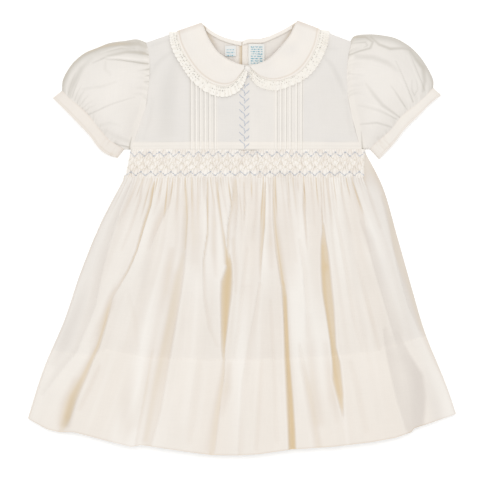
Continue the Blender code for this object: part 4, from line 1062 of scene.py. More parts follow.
@dataclass
class Thread:
    """Threads of one colour, each laid along its own path."""

    name: str
    radius: float
    finish: bpy.types.Material
    sides: int = 6
    sunk: float = 0.12           # how far its middle line lies under the top of what it rests on
    tip: float = 0.45            # its ends' share of the radius
    around: float = 3.0          # how far its twist runs round it
    paths: list[Array] = field(default_factory=list)

    def stitch(
        self, seat: Seat, start: tuple[float, float], end: tuple[float, float], lift: float,
        steps: int = 5, bow: float = 0.0,
    ) -> None:
        """Lay one stitch that dips into the cloth at both ends.

        Args:
            seat: what it lies on.
            start: where it comes up.
            end: where it goes down.
            lift: how high its middle stands over the cloth.
            steps: how many points it has.
            bow: how far its middle swings to the side.
        """
        t = np.linspace(0.0, 1.0, steps)
        x, y = mix(start[0], end[0], t), mix(start[1], end[1], t)
        run = math.hypot(end[0] - start[0], end[1] - start[1]) or 1.0
        swing = bow * np.sin(np.pi * t)
        x = x - (end[1] - start[1]) / run * swing
        y = y + (end[0] - start[0]) / run * swing
        level = np.array([seat.height(a, b) for a, b in zip(x, y)])
        level = np.maximum(level, mix(level[0], level[-1], t))
        z = np.maximum(level + lift * np.sin(np.pi * t) ** 0.6 - self.sunk, self.radius)
        self.paths.append(xyz(x, y, z))

    def run(self, seat: Seat, line: Array, length: float, gap: float, lift: float) -> None:
        """Lay a row of running stitches along a line.

        Args:
            seat: what they lie on.
            line: the line's points in the plane.
            length: length of each stitch.
            gap: gap between stitches.
            lift: how high a stitch stands.
        """
        total = travelled(line)[-1]
        for begin in np.arange(0.5 * gap, total - length, length + gap):
            a, b = along(line, np.array([begin / total, (begin + length) / total]))
            self.stitch(seat, (a[0], a[1]), (b[0], b[1]), lift, 4)

    def tube(self, path: Array) -> Array:
        """Rings of points round a path, thinner at both ends.

        Args:
            path: the thread's middle line.

        Returns:
            Points, the path's first and the ring's second.
        """
        ahead = np.gradient(path, axis=0)
        ahead /= np.maximum(np.linalg.norm(ahead, axis=1, keepdims=True), TINY)
        side = np.cross(ahead, (0.0, 0.0, 1.0))
        side /= np.maximum(np.linalg.norm(side, axis=1, keepdims=True), TINY)
        over = np.cross(side, ahead)
        thick = np.full(len(path), self.radius)
        thick[[0, -1]] *= self.tip
        thick = thick[:, None, None]
        turn = np.linspace(0.0, 2 * np.pi, self.sides, endpoint=False)[None, :, None]
        return path[:, None] + thick * np.cos(turn) * side[:, None] + thick * np.sin(turn) * over[:, None]

    def build(self) -> bpy.types.Object:
        """Make every path a closed tapered tube, all in one piece."""
        verts, faces, uvs, first = [], [], [], 0
        for path in self.paths:
            count, run = len(path), travelled(path)
            verts.append(self.tube(path).reshape(-1, 3))
            for r in range(count - 1):
                a, b = first + r * self.sides, first + (r + 1) * self.sides
                for s in range(self.sides):
                    n = (s + 1) % self.sides
                    faces.append((a + s, a + n, b + n, b + s))
                    low, high = s / self.sides * self.around, (s + 1) / self.sides * self.around
                    uvs += [(run[r], low), (run[r], high), (run[r + 1], high), (run[r + 1], low)]
            for r, ordered in ((0, reversed(range(self.sides))), (count - 1, range(self.sides))):
                faces.append(tuple(first + r * self.sides + s for s in ordered))
                uvs += [(run[r], 0.0)] * self.sides
            first += count * self.sides
        mesh = bpy.data.meshes.new(self.name)
        mesh.from_pydata((np.concatenate(verts) * MM).tolist(), [], faces)
        mesh.uv_layers.new(name="cloth").data.foreach_set("uv", (np.array(uvs) * MM).ravel())
        made = place_mesh(self.name, mesh, self.finish)
        bpy.ops.object.shade_smooth_by_angle(angle=THREAD_ANGLE)
        return made


# --- Stacked layers ------------------------------------------------------------------------
WALL = 1.2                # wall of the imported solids; the cloth shown is thinner and follows their tops
GAP = 0.3
LAYERS = 2 * WALL + GAP
CLOTH = 0.4               # thickness that the cloth is drawn with
WAIST_Y = 98.6
MIDDLE_X = 5.0
FRONT_RISE = 3.2
BODICE_HALF = 122.0       # half widths over which the front's rise runs out
BAND_HALF = 142.0
SEAM_SLOPE = 45.0         # how far below the shoulder seam the rise is whole
WAIST_XS = (-123.2, 133.3)
NECK_LEFT = (-44.8, 239.1)
NECK_RIGHT = (61.6, 241.4)
SHOULDER_LEFT = (-106.4, 217.8)
SHOULDER_RIGHT = (121.0, 219.0)
STRAIGHT_XS = (-64.0, 73.0)   # between these the bodice's threads run straight down
BACK_COLLAR = (8.5, 232.0, 106.0, 82.0)   # middle and half sizes of what the back collar raises
BUTTON_X = 6.5
BACK_RAISE = 1.5

ARMHOLE_LEFT = curve((
    SHOULDER_LEFT, (-103.9, 209.5), (-103.2, 199.9), (-103.0, 182.0), (-105.5, 158.2),
    (-108.5, 141.5), (-114.2, 126.0), (-119.8, 109.3), (WAIST_XS[0], WAIST_Y),
))
ARMHOLE_RIGHT = curve((
    SHOULDER_RIGHT, (119.7, 210.6), (117.7, 200.9), (116.5, 182.9), (118.1, 158.8),
    (121.3, 141.9), (125.0, 126.3), (129.6, 109.4), (WAIST_XS[1], WAIST_Y),
))
BACK_NECK = curve((
    NECK_LEFT, (-33.6, 230.2), (-20.2, 223.4), (-3.4, 219.0), (0.8, 219.0), (8.4, 221.5),
    (23.5, 222.0), (37.0, 227.4), (49.3, 233.5), NECK_RIGHT,
))
# Rows of: neckline x y, collar edge x y, lace edge x y, from the shoulder to the centre.
COLLAR_FRONT_LEFT = (
    (*NECK_LEFT, -72.8, 229.4, -81.0, 226.6), (-41.5, 231.0, -70.8, 219.0, -79.6, 217.5),
    (-38.1, 223.4, -66.5, 208.5, -76.0, 206.0), (-33.5, 215.5, -58.2, 194.3, -67.5, 191.5),
    (-28.0, 207.8, -47.0, 180.9, -55.5, 174.5), (-20.5, 201.5, -33.6, 171.9, -38.5, 161.5),
    (-14.6, 197.7, -20.2, 168.6, -20.2, 156.7), (-8.0, 194.8, -9.5, 171.9, -4.5, 162.5),
    (-2.2, 192.6, -2.2, 180.9, 3.2, 174.0), (2.5, 191.7, 2.4, 187.6, 5.8, 184.5),
)
COLLAR_FRONT_RIGHT = (
    (*NECK_RIGHT, 86.2, 232.1, 97.5, 227.9), (57.5, 233.0, 84.8, 222.0, 96.5, 218.0),
    (53.8, 225.7, 82.0, 212.0, 93.0, 207.0), (48.5, 218.5, 75.0, 197.7, 85.5, 192.5),
    (43.1, 212.2, 66.1, 186.5, 74.5, 179.5), (35.5, 204.0, 53.8, 178.6, 59.0, 170.5),
    (28.0, 197.8, 37.0, 174.6, 37.5, 163.7), (20.5, 194.2, 23.5, 177.5, 20.0, 167.0),
    (14.0, 192.4, 14.6, 183.7, 10.8, 175.5), (9.0, 191.6, 10.2, 188.6, 8.0, 184.0),
)
COLLAR_BACK_LEFT = (
    (-40.0, 235.0, -68.0, 212.0, -77.0, 208.0), (-33.6, 230.2, -56.0, 198.0, -63.0, 188.5),
    (-25.0, 226.0, -40.0, 188.0, -43.5, 176.5), (-15.0, 221.8, -22.0, 182.5, -22.5, 170.5),
    (-8.0, 219.6, -10.0, 183.0, -9.0, 171.0), (-2.6, 219.1, -2.8, 187.0, -2.4, 175.0),
)
COLLAR_BACK_RIGHT = (
    (56.0, 238.0, 82.0, 214.0, 91.0, 209.0), (49.3, 233.5, 70.0, 199.0, 77.0, 189.5),
    (37.0, 227.4, 53.0, 189.0, 57.0, 178.0), (23.5, 223.0, 33.0, 183.5, 34.0, 172.0),
    (13.0, 221.5, 17.0, 184.0, 15.0, 172.0), (4.6, 220.5, 5.0, 188.0, 3.6, 176.0),
)


def front_neckline() -> Array:
    """Front edge of the bodice from shoulder tip to shoulder tip, low x to high x."""
    left = curve([row[:2] for row in COLLAR_FRONT_LEFT], 70)
    right = curve([row[:2] for row in COLLAR_FRONT_RIGHT], 70)[::-1]
    return np.concatenate([ARMHOLE_LEFT[:1], left, right, ARMHOLE_RIGHT[:1]])


def back_lift(x: Array, y: Array) -> Array:
    """How far the back bodice is raised by the back collar and the buttons under it.

    Args:
        x: the points across.
        y: the points along.

    Returns:
        Rise at each point.
    """
    middle_x, middle_y, half_x, half_y = BACK_COLLAR
    over_collar = fall(1.0, 1.2, np.hypot((x - middle_x) / half_x, (y - middle_y) / half_y))
    over_buttons = fall(8.0, 16.0, np.abs(x - BUTTON_X))
    return BACK_RAISE * np.maximum(over_collar, over_buttons)


def lap(x: Array) -> Array:
    """How far the right back half is raised where it lies on the left one."""
    return BACK_RAISE * fall(15.0, 26.0, x)


def flat_on(x: Array) -> Array:
    """The left back half lies on no other: it isn't raised."""
    return 0.0 * x


def front_top(x: Array, y: Array) -> Array:
    """Height of the front bodice's face, between its tucks.

    Args:
        x: the points across.
        y: the points along.

    Returns:
        z of each point.
    """
    seams = []
    for tip, neck in ((SHOULDER_LEFT, NECK_LEFT), (SHOULDER_RIGHT, NECK_RIGHT)):
        slope = (neck[1] - tip[1]) / (neck[0] - tip[0])
        seams.append(tip[1] + slope * (x - tip[0]))
    side = np.minimum(1.0, np.abs(x - MIDDLE_X) / BODICE_HALF)
    below = unit((np.where(x < MIDDLE_X, *seams) - y) / SEAM_SLOPE)
    return LAYERS + back_lift(x, y) + FRONT_RISE * (1.0 - side * side) * below


def panel_grid(columns: Array, rows: Array, edge: Array) -> tuple[Array, Array]:
    """Points of a bodice panel: straight columns, bent only near the armholes.

    Args:
        columns: x of each column at the waist.
        rows: shares of the way up.
        edge: the panel's upper edge, low x to high x.

    Returns:
        x and y of each point, rows first.
    """
    x0, v = columns[None, :], rows[:, None]
    shift, end = 0.0, 0.0
    for armhole, straight in zip((ARMHOLE_LEFT, ARMHOLE_RIGHT), STRAIGHT_XS):
        waist = armhole[-1, 0]
        pull = np.clip((x0 - straight) / (waist - straight), 0.0, None)
        shift = shift + pull * (across_at(armhole, mix(WAIST_Y, armhole[0, 1], v)) - waist)
        end = end + pull * (armhole[0, 0] - waist)
    return x0 + shift, mix(WAIST_Y, height_at(edge, x0 + end), v)


# --- Bodice --------------------------------------------------------------------------------
@dataclass
class Bodice:
    """Front panel with twelve pintucks, and the two lapped back halves under it."""

    finishes: Finishes
    tucks: tuple[float, ...] = (
        -56.0, -51.0, -46.0, -41.0, -35.8, -29.7, 38.1, 43.3, 48.5, 53.7, 60.6, 66.1,
    )
    tuck_rise: float = 0.75
    tuck_shade: float = 0.34
    tuck_feet: tuple[float, ...] = (-1.5, -1.05, -0.6, -0.2, 0.2, 0.55, 0.8, 1.05, 1.4, 2.0)
    column_step: float = 2.1
    tuck_reach: float = 2.4      # no plain column stands nearer to a tuck
    allowance: float = 8.2       # seam allowance that shows through above the waist seam
    stitches: float = 3.4        # line of stitches above the waist seam
    tucked_in: float = 0.9       # how far its edges go in under the sleeves and over the band
    under_lace: tuple[float, float] = (12.0, 0.2)     # width and tone of the lace's shade
    swells: tuple[Swell, ...] = (Swell(34.0, 46.0, 0.35, 3), Swell(11.0, 21.0, 0.08, 4))
    mottle: Swell = Swell(17.0, 21.0, 0.12, 6)
    notch: tuple[float, float] = (5.8, 189.5)         # where the collar's halves meet
    notch_half: float = 4.0
    front_flat: tuple[float, float] = (0.285, 0.145)
    front_area: float = 0.0315
    back_spans: tuple[tuple[float, float], ...] = ((-123.2, 13.4), (0.3, 133.3))
    back_swell: Swell = Swell(16.0, 40.0, 0.5, 9)
    back_opening_x: float = -1.2
    back_flat: tuple[float, float] = (0.14, 0.145)
    back_area: float = 0.0172

    def tuck_relief(self, x: Array) -> tuple[Array, Array, Array]:
        """Relief of the pintucks, each pressed over towards the side.

        Args:
            x: the points across.

        Returns:
            Height, shade and light at each point.
        """
        rise, shade, light = np.zeros(x.shape), np.zeros(x.shape), np.zeros(x.shape)
        for tuck in self.tucks:
            place = (x - tuck) * (-1.0 if tuck < MIDDLE_X else 1.0)
            rise += window(place, (-1.5, -0.6), (0.55, 1.0))
            shade += self.tuck_shade * window(place, (0.6, 1.1), (1.3, 2.2))
            light += window(place, (-1.2, -0.5), (0.5, 0.9))
        return rise * self.tuck_rise, shade, light

    def front_columns(self) -> Array:
        """x of the front's columns at the waist, close together over each tuck."""
        plain = np.arange(*WAIST_XS, self.column_step)
        plain = plain[[np.abs(x - np.array(self.tucks)).min() > self.tuck_reach for x in plain]]
        feet = [x + foot for x in self.tucks for foot in self.tuck_feet]
        return np.unique(np.round(np.concatenate([plain, feet, WAIST_XS[1:]]), 2))

    def build_front(self) -> bpy.types.Object:
        """Front panel: pintucks, waist allowance, armhole allowance and its soft drags."""
        columns = self.front_columns()
        rows = np.concatenate([np.linspace(0.0, 0.075, 9), np.linspace(0.085, 1.0, 92)])
        x, y = panel_grid(columns, rows, front_neckline())
        x[:, 0] -= self.tucked_in
        x[:, -1] += self.tucked_in
        y[0] -= self.tucked_in
        up = y - WAIST_Y
        rise, shade, light = self.tuck_relief(np.broadcast_to(columns, x.shape))
        # Painted shadow of the lace on the bodice, along the lace's outer edge.
        width, tone = self.under_lace
        lace = [
            Crease(ROUND, tuple((row[4], row[5], width, 0.0, tone) for row in table[1:]))
            for table in (COLLAR_FRONT_LEFT, COLLAR_FRONT_RIGHT)
        ]
        pressed = press_all((*BODICE_CREASES, *lace), x, y)
        waist = fall(self.allowance - 0.4, self.allowance + 0.4, up)
        armhole = np.minimum(x - across_at(ARMHOLE_LEFT, y), across_at(ARMHOLE_RIGHT, y) - x)
        z = front_top(x, y) + rise + 0.25 * waist - 0.5 * pressed.depth
        z += swelling(self.swells, x, y) * smooth(2.0, 14.0, armhole) * smooth(2.0, 14.0, up)
        z -= 0.5 * fall(-0.9, 0.9, armhole)
        tucked = np.maximum(*(
            window(columns, (low - 3.5, low - 1.5), (high + 1.5, high + 3.5))
            for low, high in ((self.tucks[0], self.tucks[5]), (self.tucks[6], self.tucks[11]))
        ))
        # Painted shade of the tucks, creases and lace and along the waist seam, with dark lines at the
        # allowance's edge and its stitches; the tucks' painted highlight also lifts their layers.
        seam = hump(up, self.allowance, 0.6) + hump(up, self.stitches, 0.6)
        shade = shade * (1.0 - 0.5 * waist) + 0.5 * pressed.shade + 0.1 * seam
        shade = unit(shade + 0.25 * fall(0.3, 1.3, up))
        placket = window(x, (6.0, 10.0), (37.0, 39.0))
        layers = unit(0.05 + 0.75 * waist + 0.35 * tucked + 0.5 * light)
        layers = layers + 0.3 * placket + self.mottle.at(x, y)
        # Where the collar's halves meet, painted light takes away the shade and lightens the cloth.
        notch = hump(x, self.notch[0], self.notch_half) * hump(y, self.notch[1], self.notch_half)
        light = 0.4 * np.maximum(light, 2.0 * notch)
        cloth = Cloth(xyz(x, y, z), shade * (1.0 - notch), layers, light)
        made = cloth.build("bodice_front_cloth", CLOTH, self.finishes.single)
        dress_up(made, Slot.BATISTE, "bodice_front")
        return made

    def build_back(self) -> list[bpy.types.Object]:
        """Back halves, the right one lapped over the left at the centre back."""
        edge = np.concatenate([ARMHOLE_LEFT[:1], BACK_NECK, ARMHOLE_RIGHT[:1]])
        # Painted shade on the back along the front's neckline, where the front lies over it.
        rim = [(row[0], row[1], 10.0, 0.0, 0.15) for row in COLLAR_FRONT_LEFT]
        rim += [(row[0], row[1], 10.0, 0.0, 0.2) for row in COLLAR_FRONT_RIGHT[::-1]]
        made = []
        sides = (("left", flat_on, "collar_left_cloth"), ("right", lap, "bodice_back_left_cloth"))
        for (side, raised, under), span in zip(sides, self.back_spans):
            x, y = panel_grid(np.linspace(*span, 70), np.linspace(0.0, 1.0, 64), edge)
            z = back_lift(x, y) + WALL + raised(x) - 0.25 * (0.5 + self.back_swell.at(x, y))
            placket = fall(13.0, 14.0, np.abs(x - BUTTON_X))
            # Painted shade: a dark line in the back opening of the left half, the golden shadow inside the
            # neck, and a little all over.
            gap = fall(0.2, 2.6, np.abs(x - self.back_opening_x)) if side == "left" else 0.0
            deep = press_all((*BACK_SHADOWS, Crease(ROUND, tuple(rim))), x, y).shade
            cloth = Cloth(xyz(x, y, z), veiled(0.95 * gap, deep, 0.1), 0.5 + 0.4 * placket)
            piece = cloth.build(f"bodice_back_{side}_cloth", CLOTH, self.finishes.batiste)
            dress_up(piece, Slot.BATISTE, f"bodice_back_{side}")
            made.append(piece)
        return made


# --- Collar and lace -----------------------------------------------------------------------
@dataclass
class CollarHalf:
    """One half of the Peter Pan collar and the gathered lace sewn round its edge."""

    finishes: Finishes
    side: str
    front: tuple[tuple[float, ...], ...]
    back: tuple[tuple[float, ...], ...]
    tip: tuple[float, float]
    neck: tuple[float, float]
    seed: int                    # of the lace's gathers and filled eyelets
    meet: float                  # how far from the middle its neck roll begins
    wall: float = 0.9
    crown: float = 0.45
    stand: float = 1.75          # how high it lies over the bodice's face
    under_z: float = 0.1
    stitch_at: float = 0.925     # share of the way to its edge
    swell: Swell = Swell(13.0, 13.0, 0.25, 21)
    mottle: Swell = Swell(14.0, 14.0, 0.45, 22)
    flat: tuple[float, float] = (0.19, 0.045)
    area: float = 0.0065
    lace_wall: float = 0.3
    lace_under_z: float = 0.45
    lace_rise: float = 0.9
    lace_reach: float = 1.1      # how far its edge waves out and in
    lace_swing: float = 0.8      # and to the sides
    tip_out: float = 2.2         # how far its edge stands out past the shoulder seam
    gathers: int = 29
    cells: int = 20              # across the lace
    repeat: int = 5              # cells from eyelet to eyelet
    filled: float = 0.5          # share of the eyelets that are filled
    lace_steps: tuple[int, int] = (321, 90)
    lace_flat: tuple[float, float] = (0.32, 0.0125)
    lace_share: float = 0.88     # of that rectangle, without its scallops

    def outward(self) -> tuple[float, float]:
        """Direction away from the dress at the shoulder seam."""
        dx, dy = self.neck[0] - self.tip[0], self.neck[1] - self.tip[1]
        run = math.copysign(math.hypot(dx, dy), dx)
        return -dy / run, dx / run

    def stations(self, front_steps: int, back_steps: int) -> tuple[Array, Array]:
        """Rows of the half's table: inner edge, outer edge and the lace's outer edge.

        Args:
            front_steps: how many rows from centre front to the shoulder.
            back_steps: how many from there to centre back.

        Returns:
            The rows on the front and the rows under the back.
        """
        front, whole = np.array(self.front), np.array([self.front[0], *self.back])
        t, s = np.linspace(1.0, 0.0, front_steps), np.linspace(0.0, 1.0, back_steps + 1)[1:]
        top = np.stack([catmull(front[:, k], t) for k in range(6)], axis=-1)
        under = np.stack([catmull(whole[:, k], s) for k in range(6)], axis=-1)
        return top, under

    def wrap(
        self, top: Array, under: Array, start: slice, shares: Array,
        lift: Callable[[Array, Array], Array], under_z: float, out: Array | float,
    ) -> Array:
        """Points of a strip that lies on the front, folds over the shoulder and lies under the back.

        Args:
            top: rows of the table on the front.
            under: rows of the table on the back.
            start: columns of the table where the strip begins; it ends at the two after them.
            shares: places across the strip.
            lift: height over the bodice's face at x and y.
            under_z: height of the outer face under the back.
            out: how far its fold stands out past the shoulder seam.

        Returns:
            The grid's points.
        """
        end = slice(start.stop, start.stop + 2)
        upper, lower = (
            mix(rows[:, None, start], rows[:, None, end], shares[None, :, None]) for rows in (top, under)
        )
        x, y = upper[..., 0], upper[..., 1]
        first = xyz(x, y, front_top(x, y) + lift(x, y))
        last_x, last_y, high = first[-1].T
        middle, reach = (high + under_z) / 2, (high - under_z) / 2
        ox, oy = self.outward()
        fold = np.stack([
            xyz(
                last_x + ox * out * math.cos(turn), last_y + oy * out * math.cos(turn),
                middle + reach * math.sin(turn),
            ) for turn in np.radians(np.linspace(90.0, -90.0, 11))[1:-1]
        ])
        low = np.concatenate([lower, np.full((*lower.shape[:2], 1), under_z)], axis=-1)
        return np.concatenate([first, fold, low])

    def build_collar(self) -> bpy.types.Object:
        """Collar half: doubled cloth, softly crowned, turned down at its edge."""
        top, under = self.stations(110, 36)
        shares = np.concatenate([[0.0, 0.02, 0.05], np.linspace(0.09, 0.91, 20), [0.94, 0.965, 0.985, 1.0]])

        def lift(x: Array, y: Array) -> Array:
            """Height of the collar over the bodice's face.

            Args:
                x: its points across.
                y: its points along.

            Returns:
                Height at each point.
            """
            arch_over = np.sin(np.pi * shares)
            neck = -0.9 * fall(0.0, 0.07, shares)
            edge = -0.3 * smooth(0.955, 1.0, shares)
            stitched = -0.22 * hump(shares, self.stitch_at, 0.018)
            crown = self.stand + self.crown * arch_over ** 0.6
            return crown + neck + edge + stitched + self.swell.at(x, y) * arch_over

        grid = self.wrap(top, under, slice(0, 2), shares, lift, self.under_z, GAP + self.wall)
        # Painted shade at the neck edge and the outer edge, along the topstitching and where it turns over
        # the shoulder.
        edge_shade = 0.08 * smooth(0.9, 0.98, shares) + 0.2 * fall(0.0, 0.04, shares)
        seam = 0.45 * hump(shares, self.stitch_at - 0.01, 0.022)
        turned = 0.35 * smooth(102.0, 109.0, np.arange(len(grid)))[:, None]
        layers = 0.55 + 0.5 * smooth(0.9, 0.93, shares) + self.mottle.at(grid[..., 0], grid[..., 1])
        # Painted highlight on the rolled edge and along the middle of the collar.
        light = 0.3 * smooth(0.93, 0.96, shares) + 0.12 * hump(shares, 0.55, 0.2)
        cloth = Cloth(grid, veiled(edge_shade, seam, turned), layers, light, upper_rows=slice(0, 80))
        made = cloth.build(f"collar_{self.side}_cloth", self.wall, self.finishes.double)
        dress_up(made, Slot.COLLAR, f"collar_{self.side}")
        self.collar = made
        return made

    def eyelets(self, rows: int, noise: np.random.Generator) -> Array:
        """Cells left open: two rows of square eyelets, some filled, and a row of small ones.

        Args:
            rows: how many cells the lace has along its edge.
            noise: picks the eyelets that are filled.

        Returns:
            True where a cell is left open.
        """
        row, cell = np.arange(rows)[:, None], np.arange(self.cells)[None, :]
        step, shifted = row % self.repeat, (row + 2) % self.repeat
        holes = (cell >= 3) & (cell <= 4) & (step >= 1) & (step <= 2)
        holes |= (cell >= 8) & (cell <= 9) & (shifted >= 1) & (shifted <= 2)
        holes |= (cell == 14) & (step == 1)
        closed = noise.random(((rows + 1) // self.repeat + 1, 3)) < self.filled
        group = np.minimum((cell >= 7).astype(int) + (cell >= 12), 2)
        return holes & ~closed[row // self.repeat, group]

    def build_lace(self) -> bpy.types.Object:
        """Net lace, gathered in waves."""
        steps = self.lace_steps[0]
        top, under = self.stations(*self.lace_steps)
        shares = np.linspace(0.0, 1.0, self.cells + 1)
        noise = np.random.default_rng(self.seed)
        phase = np.cumsum(noise.uniform(0.6, 1.4, self.gathers + 1))
        phase = (phase - phase[0]) / (phase[-1] - phase[0])
        turns = 2 * np.pi * np.interp(np.linspace(0.0, 1.0, steps), phase, np.arange(self.gathers + 1))
        wave = 0.5 - 0.5 * np.cos(turns)
        fade = unit((steps - 1 - np.arange(steps)) / 12.0)
        outer = top[:, 4:6] - top[:, 2:4]
        outer = outer / np.linalg.norm(outer, axis=1, keepdims=True)
        swing = np.stack([-outer[:, 1], outer[:, 0]], axis=-1)
        top[:, 4:6] += outer * ((wave - 0.5) * self.lace_reach * fade)[:, None]
        top[:, 4:6] += swing * (np.sin(turns) * self.lace_swing * fade)[:, None]
        top[:, 2:4] -= outer * 0.5
        under[:, 2:4] += 0.3 * (under[:, 4:6] - under[:, 2:4]) / 12.0

        def lift(x: Array, y: Array) -> Array:
            """Height of the lace over the bodice's face, the same at any x and y."""
            rise = (wave * fade)[:, None] * self.lace_rise * smooth(0.04, 0.8, shares)
            return 0.4 + 0.35 * (1.0 - shares) * smooth(0.04, 0.2, shares) + rise

        out = GAP + self.lace_wall + self.tip_out * smooth(0.1, 0.9, shares)
        grid = self.wrap(top, under, slice(2, 4), shares, lift, self.lace_under_z, out)
        holes = self.eyelets(len(grid) - 1, noise)
        # Painted shade in the troughs of the lace's gathers and painted highlight on their crests.
        crest, valley = np.zeros((2, len(grid), 1))
        crest[:steps, 0] = wave * fade
        valley[:steps, 0] = (1.0 - wave) * fade
        shade = 0.15 * valley * (0.35 + 0.65 * shares)
        light = (0.16 + 0.26 * crest) * smooth(0.3, 0.9, shares)
        cloth = Cloth(grid, shade, 0.8, light, holes=holes, upper_rows=slice(0, 280))
        made = cloth.build(f"collar_lace_{self.side}_net", self.lace_wall, self.finishes.lace)
        dress_up(made, Slot.LACE, f"collar_lace_{self.side}")
        return made

    def stitch_edge(self) -> bpy.types.Object:
        """Topstitching just inside the collar's edge."""
        top, _ = self.stations(120, 30)
        line = mix(top[:, 0:2], top[:, 2:4], self.stitch_at)
        thread = Thread(f"collar_{self.side}_topstitch", 0.17, self.finishes.sewing, 5)
        thread.run(Seat(self.collar), line[2:-2], 1.7, 0.6, 0.16)
        return dress_up(thread.build(), Slot.COLLAR)

    def pipe_neck(self) -> bpy.types.Object:
        """Narrow bias roll along the neckline, where the collar is sewn on."""
        top, _ = self.stations(60, 30)
        x = np.concatenate([[MIDDLE_X + self.meet], top[:, 0]])
        y = np.concatenate([top[:1, 1], top[:, 1]])
        thread = Thread(f"neck_roll_{self.side}", 0.5, self.finishes.double, 10)
        thread.paths.append(xyz(x, y, front_top(x, y) + 0.9))
        return dress_up(thread.build(), Slot.COLLAR)


# --- Back neck: bindings, labels and buttons -----------------------------------------------
@dataclass(frozen=True)
class BindingSpan:
    """One half of the back neck's binding."""

    side: str
    start: float
    stop: float
    raised: Callable[[Array], Array]
    flat: tuple[float, float]
    area: float


@dataclass(frozen=True)
class Tape:
    """One folded label: its edges, and the back half that it is sewn to."""

    name: str
    left: float
    right: float
    low: float
    high: float
    raised: Callable[[Array], Array]
    flat: tuple[float, float]
    side: str
    finish: bpy.types.Material


